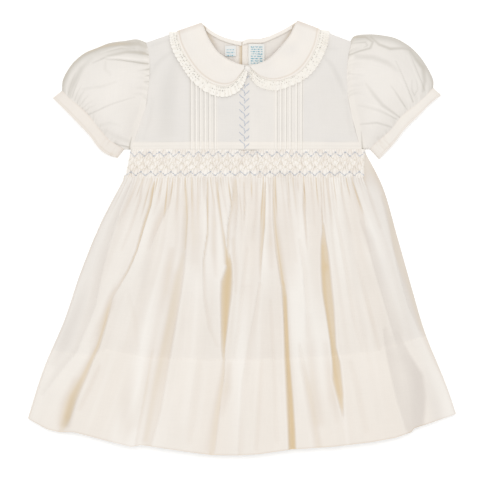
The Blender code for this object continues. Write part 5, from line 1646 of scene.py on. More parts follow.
@dataclass
class BackNeck:
    """What shows inside the neck, and the buttons under the back lap."""

    finishes: Finishes
    binding_width: float = 4.5
    binding_wall: float = 0.6
    binding_rise: float = 0.95
    binding_shares: tuple[float, ...] = (0.0, 0.05, 0.12, 0.25, 0.4, 0.55, 0.7, 0.82, 0.9, 0.96, 1.0)
    thread_radius: float = 0.16
    stitch: tuple[float, float, float] = (1.6, 0.6, 0.14)   # length, gap and lift
    placket_stitch: tuple[float, float, float] = (1.6, 0.7, 0.14)
    stitch_in: float = 3.7       # how far inside the neck's edge the stitches run
    tape_wall: float = 0.22
    tape_rise: float = 0.8
    tape_half: float = 0.35      # half the distance between a tape's two leaves
    tape_rows: int = 22
    button_ys: tuple[float, ...] = (163.0, 141.0, 119.0)
    button_radius: float = 4.9
    button_depth: float = 1.15
    button_clear: float = 0.02
    button_rim: float = 0.22
    hole_out: float = 1.15
    hole_radius: float = 0.55

    def build_bindings(self) -> list[bpy.types.Object]:
        """Bias binding along the inner side of the back neck."""
        made = []
        shares = np.array(self.binding_shares)
        inset = mix(-0.25, self.binding_width, shares)[:, None]
        round_off = 0.35 * fall(0.0, 0.12, shares) + 0.3 * smooth(0.88, 1.0, shares)
        for span in (
            BindingSpan("left", -40.0, -0.4, flat_on, (0.045, 0.010), 0.0002),
            BindingSpan("right", 0.8, 56.0, lap, (0.062, 0.010), 0.00028),
        ):
            x = np.broadcast_to(np.linspace(span.start, span.stop, 44), (len(shares), 44))
            y = height_at(BACK_NECK, x) - inset
            z = back_lift(x, y) + WALL + span.raised(x) + GAP + self.binding_rise - round_off[:, None]
            # Painted shade along the binding's lower edge.
            cloth = Cloth(xyz(x, y, z), 0.25 * smooth(0.85, 1.0, shares)[:, None], 0.95)
            piece = cloth.build(f"neck_binding_{span.side}_cloth", self.binding_wall, self.finishes.double)
            dress_up(piece, Slot.COLLAR, f"neck_binding_{span.side}")
            made.append(piece)
        return made

    def stitch_bindings(self, cloths: Sequence[bpy.types.Object]) -> bpy.types.Object:
        """Edge stitching along the bindings and down both sides of the back opening.

        Args:
            cloths: the pieces that it lies on.

        Returns:
            The thread, all in one piece.
        """
        thread = Thread("back_neck_stitching", self.thread_radius, self.finishes.sewing, 5)
        seat = Seat(*cloths)
        for start, stop in ((-39.0, -1.2), (1.8, 55.0)):
            xs = np.linspace(start, stop, 60)
            line = np.stack([xs, height_at(BACK_NECK, xs) - self.stitch_in], axis=-1)
            thread.run(seat, line, *self.stitch)
        for x in (-2.8, 6.2):
            line = np.stack([np.full(30, x), np.linspace(214.0, 150.0, 30)], axis=-1)
            thread.run(seat, line, *self.placket_stitch)
        return dress_up(thread.build(), Slot.COLLAR)

    def build_labels(self) -> None:
        """Folded size label on the left half and care label on the right one."""
        turn = np.radians(np.linspace(90.0, -90.0, 8)[1:-1])
        leaf = np.full(self.tape_rows, self.tape_half)
        lift = self.tape_rise + np.concatenate([leaf, self.tape_half * np.sin(turn), -leaf])
        plain, care = self.finishes.label, self.finishes.care_label
        for tape in (
            Tape("label_size", -19.0, -6.7, 202.2, 214.3, flat_on, (0.0125, 0.025), "left", plain),
            Tape("label_care", 7.3, 25.2, 188.0, 216.0, lap, (0.018, 0.056), "right", care),
        ):
            fold_y = tape.low + self.tape_half
            down = mix(tape.high, fold_y, np.linspace(0.0, 1.0, self.tape_rows))
            ys = np.concatenate([down, fold_y - self.tape_half * np.cos(turn), down[::-1]])
            x, y = np.meshgrid(np.linspace(tape.left, tape.right, 16), ys)
            sag = 0.12 * np.sin(np.pi * (x - tape.left) / (tape.right - tape.left))
            z = back_lift(x, y) + WALL + tape.raised(x) + lift[:, None] - sag
            cloth = Cloth(xyz(x, y, z), 0.0, 0.5, upper_rows=slice(0, 20))
            piece = cloth.build(f"{tape.name}_tape", self.tape_wall, tape.finish)
            dress_up(piece, Slot.LABEL, tape.name)

    def build_buttons(self) -> None:
        """Four-hole buttons: a disc with a rolled rim and a sunk middle, copied down the back."""
        first_y = self.button_ys[0]
        deselect()
        bpy.ops.mesh.primitive_cylinder_add(
            vertices=48, radius=self.button_radius * MM, depth=self.button_depth * MM, end_fill_type="NGON",
            location=(BUTTON_X * MM, first_y * MM, (self.button_depth / 2 + self.button_clear) * MM),
        )
        disc = bpy.context.active_object
        bpy.ops.object.transform_apply(location=True, rotation=True, scale=True)
        self.sink_face(disc)
        for side in (-self.hole_out, self.hole_out):
            for up in (-self.hole_out, self.hole_out):
                self.drill(disc, BUTTON_X + side, first_y + up)
        make_active(disc)
        rim = disc.modifiers.new("rim", "BEVEL")
        rim.width = self.button_rim * MM
        rim.segments = 3
        rim.angle_limit = math.radians(40)
        bpy.ops.object.modifier_apply(modifier="rim")
        bpy.ops.object.shade_smooth_by_angle(angle=math.radians(40))
        disc.data.materials.clear()
        disc.data.materials.append(self.finishes.pearl)
        for number, y in enumerate(self.button_ys, start=1):
            piece = disc
            if number > 1:
                piece = bpy.data.objects.new("copy", disc.data.copy())
                bpy.context.scene.collection.objects.link(piece)
                piece.data.transform(Matrix.Translation((0.0, (y - first_y) * MM, 0.0)))
            piece.name = f"pearl_button_{number}"
            dress_up(piece, Slot.BUTTON, f"back_button_{number}")

    def drill(self, disc: bpy.types.Object, x: float, y: float) -> None:
        """Cut one thread hole through a button.

        Args:
            disc: the button.
            x: the hole's middle, in millimetres.
            y: the hole's middle, in millimetres.
        """
        deselect()
        bpy.ops.mesh.primitive_cylinder_add(
            vertices=14, radius=self.hole_radius * MM, depth=4 * MM, location=(x * MM, y * MM, 0.0),
        )
        bit = bpy.context.active_object
        make_active(disc)
        cut = disc.modifiers.new("hole", "BOOLEAN")
        cut.operation = "DIFFERENCE"
        cut.object = bit
        cut.solver = "EXACT"
        bpy.ops.object.modifier_apply(modifier="hole")
        bpy.data.objects.remove(bit, do_unlink=True)

    @staticmethod
    def sink_face(disc: bpy.types.Object) -> None:
        """Inset the outer face of a button and press its middle in.

        Args:
            disc: the button.
        """
        make_active(disc)
        bpy.ops.object.mode_set(mode="EDIT")
        bpy.ops.mesh.select_all(action="DESELECT")
        bpy.ops.object.mode_set(mode="OBJECT")
        for face in disc.data.polygons:
            face.select = face.normal.z < -0.9
        bpy.ops.object.mode_set(mode="EDIT")
        bpy.ops.mesh.inset(thickness=1.0 * MM, depth=0.0)
        bpy.ops.mesh.inset(thickness=0.35 * MM, depth=-0.3 * MM)
        bpy.ops.object.mode_set(mode="OBJECT")


# --- Smocked band --------------------------------------------------------------------------
PLEAT_HEIGHT = 0.65
PLEATS = 96
BAND_RUN = 260.0             # width that the band's random sets are spread over
BAND_FOOT = WALL + 0.7 + GAP


def pleat_ridge(across: Array) -> Array:
    """Rounded pleats side by side, 1 on their crests and 0 between them."""
    return np.abs(np.cos(np.pi * across * PLEATS)) ** 0.8


def band_level(x: Array) -> Array:
    """Height that the pleats of the band stand on."""
    side = np.minimum(1.0, np.abs(x - MIDDLE_X) / BAND_HALF)
    return BAND_FOOT + FRONT_RISE * (1.0 - side * side) + 0.75


@dataclass
class SmockedBand:
    """Pleated front waist with its embroidery: two blue zigzags and a cream trellis between."""

    finishes: Finishes
    top_y: float = 98.2
    low_y: float = 66.0
    top_xs: tuple[float, float] = (-124.3, 137.2)
    low_xs: tuple[float, float] = (-131.0, 136.6)
    waves: int = 24
    columns_per_pleat: int = 6
    rows: int = 38
    tier_y: float = 83.0         # middle of its diamonds, and how tall they are
    tier: float = 13.4
    pinch_ys: tuple[float, float] = (93.0, 71.0)      # rows of stitches that pull it in
    pinch_half: float = 1.6
    foot_y: float = 68.6         # where the pleats are let go, raggedly
    ragged: Swell = Swell(2.9, 9.0, 0.2, 5)
    ragged_foot: Swell = Swell(3.1, 90.0, 0.9, 15)
    uneven: Swell = Swell(3.3, 7.0, 1.0, 14)
    steps: int = 3               # stitches to each stroke of a zigzag
    slip_x: float = 0.07         # how far a stitch is out of line
    slip_y: float = 0.6
    blue_rows: tuple[tuple[float, float, int], ...] = ((95.6, 90.6, 1), (73.6, 69.2, 0))
    cream_rows: tuple[tuple[float, float, int], ...] = (
        (90.2, 86.4, 0), (86.6, 82.6, 1), (82.4, 78.6, 0), (78.8, 75.0, 1),
    )
    flat: tuple[float, float] = (0.37, 0.034)

    def place(self, across: Array, down: Array) -> tuple[Array, Array]:
        """x and y at shares across and down the band."""
        left, right = (mix(top, low, down) for top, low in zip(self.top_xs, self.low_xs))
        return mix(left, right, across), mix(self.top_y, self.low_y, down) + 0.0 * across

    def build(self) -> bpy.types.Object:
        """Fine pleats that sway into diamonds where the stitches hold them together."""
        count = PLEATS * self.columns_per_pleat
        across, down = np.meshgrid(np.linspace(0, 1, count + 1), np.linspace(0, 1, self.rows))
        x, y = self.place(across, down)
        pitch = (x[0, -1] - x[0, 0]) / PLEATS
        wave = 2 * np.pi * across * self.waves
        tier = 2 * np.pi * (y - self.tier_y) / self.tier
        inner = window(down, (0.0, 0.1), (0.9, 1.0)) * window(across, (0.0, 0.02), (0.98, 1.0))
        x = x + 0.5 * pitch * np.sin(wave) * np.sin(tier) * inner
        run = BAND_RUN * across
        ridge = pleat_ridge(across)
        calm = smooth(66.0, 71.0, y)
        bump = mix(0.35, 0.5 + 0.5 * np.cos(wave) * np.cos(tier), calm)
        pinch = sum(hump(y, line, self.pinch_half) for line in self.pinch_ys)
        height = mix(1.0, 0.8 + self.ragged.at(run, y), calm) * PLEAT_HEIGHT
        z = band_level(x) + 0.35 * bump + height * ridge - 0.25 * pinch
        z = z - fall(0.0, 0.012, across) * (z - 0.6) * 0.9
        z = z - fall(0.0, 0.006, 1.0 - across) * (z - 2.7)
        y[0] += 0.7
        z[0] = np.minimum(z[0], band_level(x[0]) - 0.75)
        foot = self.foot_y + 0.9 * np.cos(wave) + self.ragged_foot.at(run, y)
        z = np.maximum(z - 0.8 * np.clip((foot - y) / 2.6, 0.0, 1.2), CLOTH)
        uneven = self.uneven.at(run, y)
        let_go = fall(66.5, 70.5, y)
        # Painted shade between the pleats, at the stitched rows and where the pleats are let go, and painted
        # highlight on their crests; both vary at random.
        shade = unit(0.26 * (1.0 - ridge) + 0.08 * (1.0 - bump) + 0.05 * pinch + 0.12 * uneven)
        shade = veiled(shade, 0.3 * (1.0 - ridge) * let_go)
        light = unit(0.2 + 0.4 * bump * ridge - 0.25 * uneven) * (1.0 - 0.7 * let_go)
        cloth = Cloth(xyz(x, y, z), shade, 0.9, light)
        made = cloth.build("smocked_front_pleats", CLOTH, self.finishes.pleats)
        dress_up(made, Slot.SMOCKING, "smocked_front")
        self.seat = Seat(made)
        return made

    def x_at(self, share: float, y: float) -> float:
        """x at a share of the band's width, at height y."""
        return float(self.place(np.array(share), np.array((self.top_y - y) / (self.top_y - self.low_y)))[0])

    def zigzag(self, thread: Thread, high: float, low: float, start: int, lift: float) -> None:
        """Lay a zigzag of short wave stitches across the band, each a little out of line.

        Args:
            thread: the thread it is worked in.
            high: y of its upper turns.
            low: y of its lower turns.
            start: 0 to begin low, 1 to begin high.
            lift: how high each stroke stands.
        """
        noise = np.random.default_rng(int(10 * high))
        for half in range(2 * self.waves):
            ends = (low, high) if (half + start) % 2 == 0 else (high, low)
            for part in range(self.steps):
                slip = noise.uniform(-1.0, 1.0, 4)
                points = []
                for k, share in enumerate((part / self.steps, (part + 1) / self.steps)):
                    across = (half + share + self.slip_x * slip[k]) / (2 * self.waves)
                    y = mix(*ends, share + (0.1, -0.1)[k]) + self.slip_y * slip[2 + k]
                    points.append((self.x_at(across, (high + low) / 2), y))
                thread.stitch(self.seat, *points, lift)

    def knots(self, thread: Thread, y: float, start: int) -> None:
        """Small knots where a zigzag turns."""
        for turn in range(self.waves + 1 - start):
            x = self.x_at((turn + 0.5 * start) / self.waves, y)
            thread.stitch(self.seat, (x - 0.9, y + 0.15), (x + 0.9, y - 0.15), 0.55)

    def embroider(self) -> None:
        """Blue zigzags with knots along both edges, and the cream trellis."""
        blue = Thread("smocking_floss_blue", 0.3, self.finishes.blue)
        for high, low, start in self.blue_rows:
            self.zigzag(blue, high, low, start, 0.5)
            self.knots(blue, low, start)
            self.knots(blue, high, 1 - start)
        cream = Thread("smocking_floss_cream", 0.32, self.finishes.cream)
        for high, low, start in self.cream_rows:
            self.zigzag(cream, high, low, start, 0.3)
        for thread in (blue, cream):
            dress_up(thread.build(), Slot.SMOCKING)


# --- Skirt ---------------------------------------------------------------------------------
# Lower edge of the skirt, and the line of the hem's stitches: each pleat steps them a little.
HEM_EDGE = np.array((
    (-240, -202), (-217, -214), (-204, -217), (-187, -217), (-148, -227), (-123, -233),
    (-112, -231), (-58, -239), (-34, -242), (-2, -242.5), (20, -241), (54, -236), (99, -233),
    (143, -228), (171, -223), (189, -217), (192, -213), (240, -197),
), float)
HEM_LINE = np.array((
    (-214, -126), (-170, -132), (-150, -124), (-103, -133), (-36, -136), (9, -136), (87, -133),
    (143, -128), (177, -117), (212, -109),
), float)
SIDE_LEFT = curve((
    (-132, 66), (-159, 14), (-181, -40), (-199, -93), (-222, -147), (-239.6, -202),
))
SIDE_RIGHT = curve((
    (137, 97), (158, 55), (174, 0), (189, -53), (205, -107), (227, -161), (239.6, -197),
))
# x of the main folds, from the band to the hem.
FOLD_XS = (
    (-99.7, -119.3, -147.8, -173.6, -201.6), (-65.0, -66.1, -79.0, -90.2, -109.8),
    (-43.0, -43.4, -44.1, -49.0, -60.0), (-27.0, -15.7, -17.9, -27.4, -34.7),
    (22.0, 20.4, 16.2, 13.2, 9.0), (37.0, 43.1, 48.7, 53.4, 54.9),
    (66.0, 70.7, 74.9, 78.9, 83.8), (88.5, 93.8, 100.6, 106.3, 113.1),
    (105.3, 112.9, 127.7, 143.2, 155.0), (121.2, 136.9, 155.6, 167.8, 182.9),
    (135.8, 165.5, 185.5, 206.6, 225.8),
)


@dataclass
class Skirt:
    """Gathered front and back skirt with a deep hem, laid flat."""

    finishes: Finishes
    fold_top: float = 65.6       # where the main folds leave the band
    fold_steps: int = 120
    columns: int = 370
    rows: int = 124
    hem_wall: float = 2.0
    rise_top: float = 3.2
    rise: float = 7.0
    under_band: float = 3.6      # how far the front goes up under the band
    tucked_down: float = 0.9
    side_roll: float = 4.0
    low_edge: float = 0.45
    gather_pitch: float = 6.6
    gather_depth: float = 0.8
    broad_share: float = 0.45
    front_seed: int = 31
    front_run: float = 480.0     # width that the front's random streaks are spread over
    swells: tuple[Swell, ...] = (Swell(24.0, 70.0, 0.55, 11), Swell(9.0, 34.0, 0.16, 12))
    top_swell: Swell = Swell(7.0, 60.0, 0.22, 13)
    broad: Swell = Swell(26.0, 120.0, 1.0, 16)
    fine: Swell = Swell(6.5, 90.0, 1.0, 17)
    patches: Swell = Swell(5.0, 60.0, 0.6, 18)
    front_flat: tuple[float, float] = (0.53, 0.32)
    front_area: float = 0.128
    back_seed: int = 77
    back_top: float = 98.2
    back_foot: float = -199.0
    back_half: float = 236.0
    back_in: float = 3.2         # how far its sides lie inside the front's
    back_up: float = 1.5
    back_swell: Swell = Swell(13.0, 150.0, 1.0, 41)
    back_top_swell: Swell = Swell(5.0, 60.0, 0.6, 42)
    back_flat: tuple[float, float] = (0.50, 0.34)
    back_area: float = 0.128

    def anchors(self) -> list[Array]:
        """Lines that the cloth's columns follow: its sides and its main folds."""
        folds = []
        for fold in FOLD_XS:
            xs = catmull(fold, np.linspace(0.0, 1.0, self.fold_steps))
            ys = np.linspace(self.fold_top, float(height_at(HEM_EDGE, np.array(fold[-1]))), self.fold_steps)
            folds.append(np.stack([xs, ys], axis=-1))
        return [SIDE_LEFT, *folds, SIDE_RIGHT]

    def front_grid(self) -> tuple[Array, Array, Array, Array]:
        """x, y, share down and share across of the front's points."""
        lines = self.anchors()
        v = np.linspace(0.0, 1.0, self.rows)
        tables = []
        for line in lines:
            y = mix(line[0, 1], line[-1, 1], v)
            tables.append(np.stack([across_at(line, y), y], axis=-1)[:, None])
        hem = [line[-1, 0] for line in lines]
        parts, shares = [], []
        for a, b, low, high in zip(tables, tables[1:], hem, hem[1:]):
            count = max(4, round(self.columns * (high - low) / (hem[-1] - hem[0])))
            f = np.linspace(0.0, 1.0, count + 1)[: None if b is tables[-1] else -1]
            parts.append(mix(a, b, f[None, :, None]))
            shares.append(mix(low, high, f))
        grid = np.concatenate(parts, axis=1)
        across = (np.concatenate(shares) - hem[0]) / (hem[-1] - hem[0])
        x, v = grid[..., 0], v[:, None]
        y = mix(grid[:1, :, 1], height_at(HEM_EDGE, x[-1:]), v)
        return x, y, np.broadcast_to(v, x.shape), np.broadcast_to(across, x.shape)

    def gathers(self, x: Array, v: Array, seed: int) -> tuple[Array, Array]:
        """Small uneven gathers that run down from the band and fade out.

        Args:
            x: the cloth's points across.
            v: share of the way down.
            seed: which of the random sets.

        Returns:
            Depth and shade.
        """
        noise = np.random.default_rng(seed)
        start, first = np.broadcast_to(x[0], x.shape), x[0].min()
        depth, shade = np.zeros(x.shape), np.zeros(x.shape)
        for k in range(int((x[0].max() - first) / self.gather_pitch)):
            centre = first + self.gather_pitch * (k + 0.5) + noise.uniform(-1.3, 1.3)
            size, end = noise.uniform(0.35, 1.2), noise.uniform(0.05, 0.26)
            drift = noise.uniform(-16.0, 16.0)
            broad = noise.random() < self.broad_share
            top, foot, tone = (2.0, 3.6, 0.34) if broad else (0.9, 2.0, 1.0)
            form = hill((start - centre - drift * v) / mix(top, foot, unit(v / 0.3)))
            fade = fall(0.3 * end, end, v) * size
            depth += self.gather_depth * form * fade
            shade += tone * form * fade
        return depth, np.clip(shade, 0.0, 0.85)

    def build_front(self) -> bpy.types.Object:
        """Front skirt: gathers, named folds, hem of doubled cloth and rolled side edges."""
        x, y, v, across = self.front_grid()
        left, right = x[:, :1], x[:, -1:]
        above = height_at(HEM_LINE, x) - y
        hem = smooth(-0.5, 0.5, above)
        wall = mix(WALL, self.hem_wall, smooth(-4.0, 4.0, above))
        floor = wall + GAP + 0.7 * fall(0.0, 0.45, v)
        side = unit(np.abs(2.0 * (x - left) / (right - left) - 1.0))
        rise = mix(self.rise_top, self.rise, smooth(0.0, 0.35, v)) * (1.0 - side ** 4)
        pressed, cool = press_all(SKIRT_CREASES, x, y), press_all(SKIRT_COOL_FOLDS, x, y)
        small, small_shade = self.gathers(x, v, self.front_seed)
        swell = swelling(self.swells, x, y) + self.top_swell.at(x, y) * fall(0.2, 0.7, v)
        sunk = np.maximum(pressed.depth, cool.depth) + np.minimum(pressed.depth, 0.0) + small
        z = floor + wall + rise - 0.4 + swell * smooth(0.0, 0.15, v) + 0.25 * hem - sunk
        z = np.maximum(z, floor + 0.5)
        top_place = (x[:1] - x[0, 0]) / (x[0, -1] - x[0, 0])
        ridge = pleat_ridge(np.broadcast_to(top_place, x.shape))
        z = mix(band_level(x) + 0.2 + PLEAT_HEIGHT * ridge, z, smooth(0.0, 0.05, v))
        y[0] += self.under_band
        z[0] -= self.tucked_down
        from_side = np.minimum(x - left, right - x)
        z = mix(self.low_edge, z, rolled(from_side / self.side_roll))
        run = self.front_run * across
        broad, fine = self.broad.at(run, y), self.fine.at(run, y)
        # Layers: doubled over the hem and varying at random, lowered for painted cool shade near the sides
        # and in the cool folds.
        side_shade = 0.4 * fall(0.0, 34.0, from_side) * (1.0 - 0.5 * hem)
        layers = (0.7 + 0.22 * hem + 0.12 * broad - side_shade) * (1.0 - 0.9 * cool.shade)
        # Painted shade: long streaks that follow the folds, shade between the gathers under the band, and a
        # contour line along the sides and the hem.
        streak_shade = 0.11 + 0.1 * broad + 0.06 * fine * (1.0 - 0.6 * hem)
        top_shade = 0.35 * (1.0 - ridge) * fall(0.0, 0.05, v)
        contour = np.maximum(fall(0.4, 3.2, from_side), fall(0.4, 2.6, y - y[-1:]))
        folds = veiled(pressed.shade, small_shade, streak_shade, top_shade)
        shade = veiled(folds, 0.25 * cool.shade, 0.4 * contour)
        # Painted highlight on the gathers' crests under the band, on the creases' ridges, in random patches
        # and over the hem.
        patchy = unit(0.6 + self.patches.at(run, y))
        light = 0.4 * patchy * unit(2.0 * ridge - 1.0) * fall(0.0, 0.08, v)
        light = light + 0.6 * pressed.light + 0.4 * unit(-broad) + 0.1 * unit(-fine) + 0.1 * hem
        light = light * (1.0 - pressed.shade) * (1.0 - cool.shade)
        cloth = Cloth(xyz(x, y, z), shade, layers, light)
        made = cloth.build("skirt_front_cloth", CLOTH, self.finishes.batiste)
        dress_up(made, Slot.BATISTE, "skirt_front")
        self.front = made
        return made

    def build_back(self) -> bpy.types.Object:
        """Back skirt, flat on the surface, with its own gathers and soft folds."""
        v, share = np.linspace(0.0, 1.0, 104)[:, None], np.linspace(0.0, 1.0, 190)[None, :]
        foot = height_at(HEM_EDGE, mix(-self.back_half, self.back_half, share)) + self.back_up
        y = mix(self.back_top, foot, v)
        edge_y = mix(self.back_top, self.back_foot, v)
        left = np.concatenate([[[-123.4, self.back_top]], SIDE_LEFT])
        x_left, x_right = across_at(left, edge_y) + self.back_in, across_at(SIDE_RIGHT, edge_y) - self.back_in
        x = mix(x_left, x_right, share)
        small, small_shade = self.gathers(x, np.broadcast_to(v, x.shape), self.back_seed)
        wave = self.back_swell.at(x, y) * smooth(0.05, 0.3, v)
        wave += self.back_top_swell.at(x, y) * fall(0.1, 0.5, v)
        hem = smooth(-0.5, 0.5, height_at(HEM_LINE, x) - y)
        z = CLOTH + np.clip(0.35 + 0.45 * wave, 0.0, 0.9) + 0.35 * small
        # Painted shade over the gathers and the swells; the hem is doubled.
        cloth = Cloth(xyz(x, y, z), 0.3 * small_shade + 0.3 * unit(wave), 0.55 + 0.35 * hem)
        made = cloth.build("skirt_back_cloth", CLOTH, self.finishes.batiste)
        dress_up(made, Slot.BATISTE, "skirt_back")
        return made

    def stitch_hem(self) -> bpy.types.Object:
        """Blind hem stitches: tiny pricks of thread along the top of the hem."""
        thread = Thread("hem_stitches", 0.16, self.finishes.sewing, 5)
        xs = np.linspace(-203.0, 198.0, 300)
        line = np.stack([xs, height_at(HEM_LINE, xs) - 0.9], axis=-1)
        thread.run(Seat(self.front), line, 1.1, 3.6, 0.14)
        return dress_up(thread.build(), Slot.BATISTE)


# --- Sleeves -------------------------------------------------------------------------------
def arch(share: Array, fullness: float = 0.8) -> Array:
    """Rounded rise from 0 at both ends to 1 in the middle."""
    return np.sin(np.pi * unit(share)) ** fullness


def patch(armhole: Array, cuff: Array, upper: Array, under: Array, a: Array, s: Array) -> Array:
    """Points inside four edge lines.

    Args:
        armhole: the line at a = 0.
        cuff: the line at a = 1.
        upper: the line at s = 0.
        under: the line at s = 1.
        a: shares from the armhole to the cuff.
        s: shares from the upper edge to the underarm.

    Returns:
        x and y, last in the array.
    """
    pa, pc = along(armhole, s), along(cuff, s)
    pt, pu = along(upper, a), along(under, a)
    af, sf = a[..., None], s[..., None]
    ends = (armhole[0], armhole[-1], cuff[0], cuff[-1])
    weights = ((1 - af) * (1 - sf), (1 - af) * sf, af * (1 - sf), af * sf)
    made = (1 - af) * pa + af * pc + (1 - sf) * pt + sf * pu
    return made - sum(w * p for w, p in zip(weights, ends))


@dataclass(frozen=True)
class SleeveCut:
    """What differs between the two sleeves: their edge lines, creases and random set."""

    side: str
    outward: int
    armhole: Array
    upper: Line
    cuff_seam: Line
    cuff_edge: Line
    creases: tuple[Crease, ...]
    seed: int
    cuff_shade: float            # which the left cuff has, being turned from the light


@dataclass
class Sleeve:
    """Puff sleeve, gathered into the armhole and into its narrow band."""

    finishes: Finishes
    cut: SleeveCut
    line_steps: int = 120
    rows: int = 92
    columns: int = 150
    base_columns: int = 26
    seam_gap: float = 0.3
    puff: float = 15.4
    end_rises: tuple[float, float] = (0.4, 2.4)
    edge_roll: float = 0.03
    lowest: float = 0.55
    head_gathers: int = 30       # all round; they stop at this share of the way down
    head_stop: float = 0.52
    band_gathers: int = 26
    gather_depth: float = 0.3
    gather_shade: float = 0.16
    swells: tuple[Swell, ...] = (Swell(22.0, 17.0, 0.9, 61), Swell(8.0, 9.0, 0.2, 62))
    base_swell: Swell = Swell(14.0, 14.0, 0.5, 63)
    mottle: Swell = Swell(24.0, 24.0, 0.15, 64)
    allowance: float = 6.5       # seam allowance that shows through beside the armhole
    flat: tuple[float, float] = (0.26, 0.11)
    area: float = 0.02
    cuff_rows: tuple[float, ...] = (0.0, 0.03, 0.08, 0.16, 0.28, 0.42, 0.56, 0.7, 0.8, 0.88, 0.94, 0.975, 1.0)
    cuff_columns: int = 96
    cuff_wall: float = 0.6
    cuff_rise: float = 2.3
    cuff_gap: float = 0.35
    cuff_stitch_at: float = 0.84
    cuff_swell: Swell = Swell(9.0, 9.0, 0.2, 71)
    cuff_mottle: Swell = Swell(10.0, 10.0, 0.2, 72)
    cuff_crease_shade: Swell = Swell(2.2, 14.0, 1.0, 73)
    cuff_flat: tuple[float, float] = (0.19, 0.014)

    def ring(self, lines: tuple[Array, ...], rows: Array, columns: int) -> tuple[Array, Array, Array, Array]:
        """Points of a flattened tube, over the top and back underneath.

        Args:
            lines: its edge lines, as patch takes them.
            rows: shares from the armhole to the cuff.
            columns: how many cells lie on top.

        Returns:
            Both shares of each point, its x and its y.
        """
        over = np.linspace(0.0, 1.0, columns + 1)
        over = 0.5 - 0.5 * np.cos(np.pi * over) * (0.6 + 0.4 * np.abs(np.cos(np.pi * over)))
        over = (over - over[0]) / (over[-1] - over[0])
        base = np.linspace(1.0, 0.0, self.base_columns + 2)[1:-1]
        a, s = np.meshgrid(rows, np.concatenate([over, base]), indexing="ij")
        place = patch(*lines, a, s)
        return a, s, place[..., 0], place[..., 1]

    def frill(self, a: Array, s: Array) -> tuple[Array, Array]:
        """Small gathers that fan from both seams.

        Args:
            a: shares from the armhole to the cuff.
            s: shares from the upper edge to the underarm.

        Returns:
            Depth and shade.
        """
        noise = np.random.default_rng(self.cut.seed)
        depth, shade = np.zeros(a.shape), np.zeros(a.shape)
        ends = ((self.head_gathers, self.head_stop, a), (self.band_gathers, math.inf, 1.0 - a))
        for count, stop, reach in ends:
            for k in range(count):
                centre = (k + 0.5 + noise.uniform(-0.3, 0.3)) / count
                if centre > stop:
                    continue
                size, run = noise.uniform(0.4, 1.1), noise.uniform(0.08, 0.3)
                form = hill((s - centre) / (0.55 / count * (1.0 + reach * 2.0)))
                fade = size * fall(0.2 * run, run, reach)
                depth += self.gather_depth * form * fade
                shade += self.gather_shade * form * fade
        return depth, np.clip(shade, 0.0, 0.45)

    def build_sleeve(self) -> bpy.types.Object:
        """Sleeve: a puffed tube with gathers that fan from both of its seams."""
        cut = self.cut
        armhole = cut.armhole + np.array([cut.outward * self.seam_gap, 0.0])
        upper = np.concatenate([armhole[:1], curve(cut.upper, self.line_steps)[1:]])
        seam = curve(cut.cuff_seam, self.line_steps)
        lines = (armhole, seam, upper, np.stack([armhole[-1], seam[-1]]))
        a, s, x, y = self.ring(lines, np.linspace(0.0, 1.0, self.rows), self.columns)
        top = slice(0, self.columns + 1)
        rise = (mix(*self.end_rises, a) + self.puff * arch(a, 1.3)) * arch(s)
        pressed = press_all(cut.creases, x, y)
        frill, frill_shade = self.frill(a, s)
        keep = smooth(0.0, 0.12, s) * smooth(0.0, 0.12, 1.0 - s)
        edge = rolled(np.minimum(s, 1.0 - s) / self.edge_roll)
        z = LAYERS * edge + rise + (swelling(self.swells, x, y) - frill - 0.6 * pressed.depth) * keep
        z = np.maximum(z, 0.9 * edge + self.lowest)
        z[:, top.stop:] = (0.02 + 0.25 * (0.5 + self.base_swell.at(x, y)))[:, top.stop:]
        # Painted shade along the upper edge and in the creases and gathers.
        rim = 0.4 * fall(0.0, 0.08, s) + 0.12 * fall(0.0, 0.35, s)
        shade = veiled(0.72 * pressed.shade, frill_shade, rim)
        in_seam = np.abs(across_at(armhole, y) - x)
        allowance = fall(self.allowance - 0.6, self.allowance + 0.6, in_seam)
        layers = 0.15 + self.mottle.at(x, y) + 0.35 * allowance
        # Painted highlight where the cloth is unshaded and on the creases' ridges.
        light = 0.12 * (1.0 - shade) + 0.6 * pressed.light
        cloth = Cloth(xyz(x, y, z), shade, layers, light, ring=True, upper=top)
        made = cloth.build(f"sleeve_{cut.side}_cloth", CLOTH, self.finishes.puff)
        dress_up(made, Slot.BATISTE, f"sleeve_{cut.side}")
        return made

    def build_cuff(self) -> bpy.types.Object:
        """Sleeve band: doubled cloth, a flattened ring with a rolled edge, topstitched."""
        cut, steps = self.cut, self.line_steps
        seam = curve(cut.cuff_seam, steps) + np.array([-cut.outward, 1.0]) * self.cuff_gap
        edge = curve(cut.cuff_edge, steps)
        lines = (seam, edge, np.stack([seam[0], edge[0]]), np.stack([seam[-1], edge[-1]]))
        b, s, x, y = self.ring(lines, np.array(self.cuff_rows), self.cuff_columns)
        top = slice(0, self.cuff_columns + 1)
        from_edge = np.minimum(s, 1.0 - s)
        z = (LAYERS + self.cuff_rise * arch(s)) * rolled(from_edge / 0.035)
        z += 0.35 + 0.35 * np.sin(np.pi * b) ** 0.7 + self.cuff_swell.at(x, y)
        z -= 0.35 * hump(b, self.cuff_stitch_at, 0.05)
        z[:, top.stop:] = 0.05
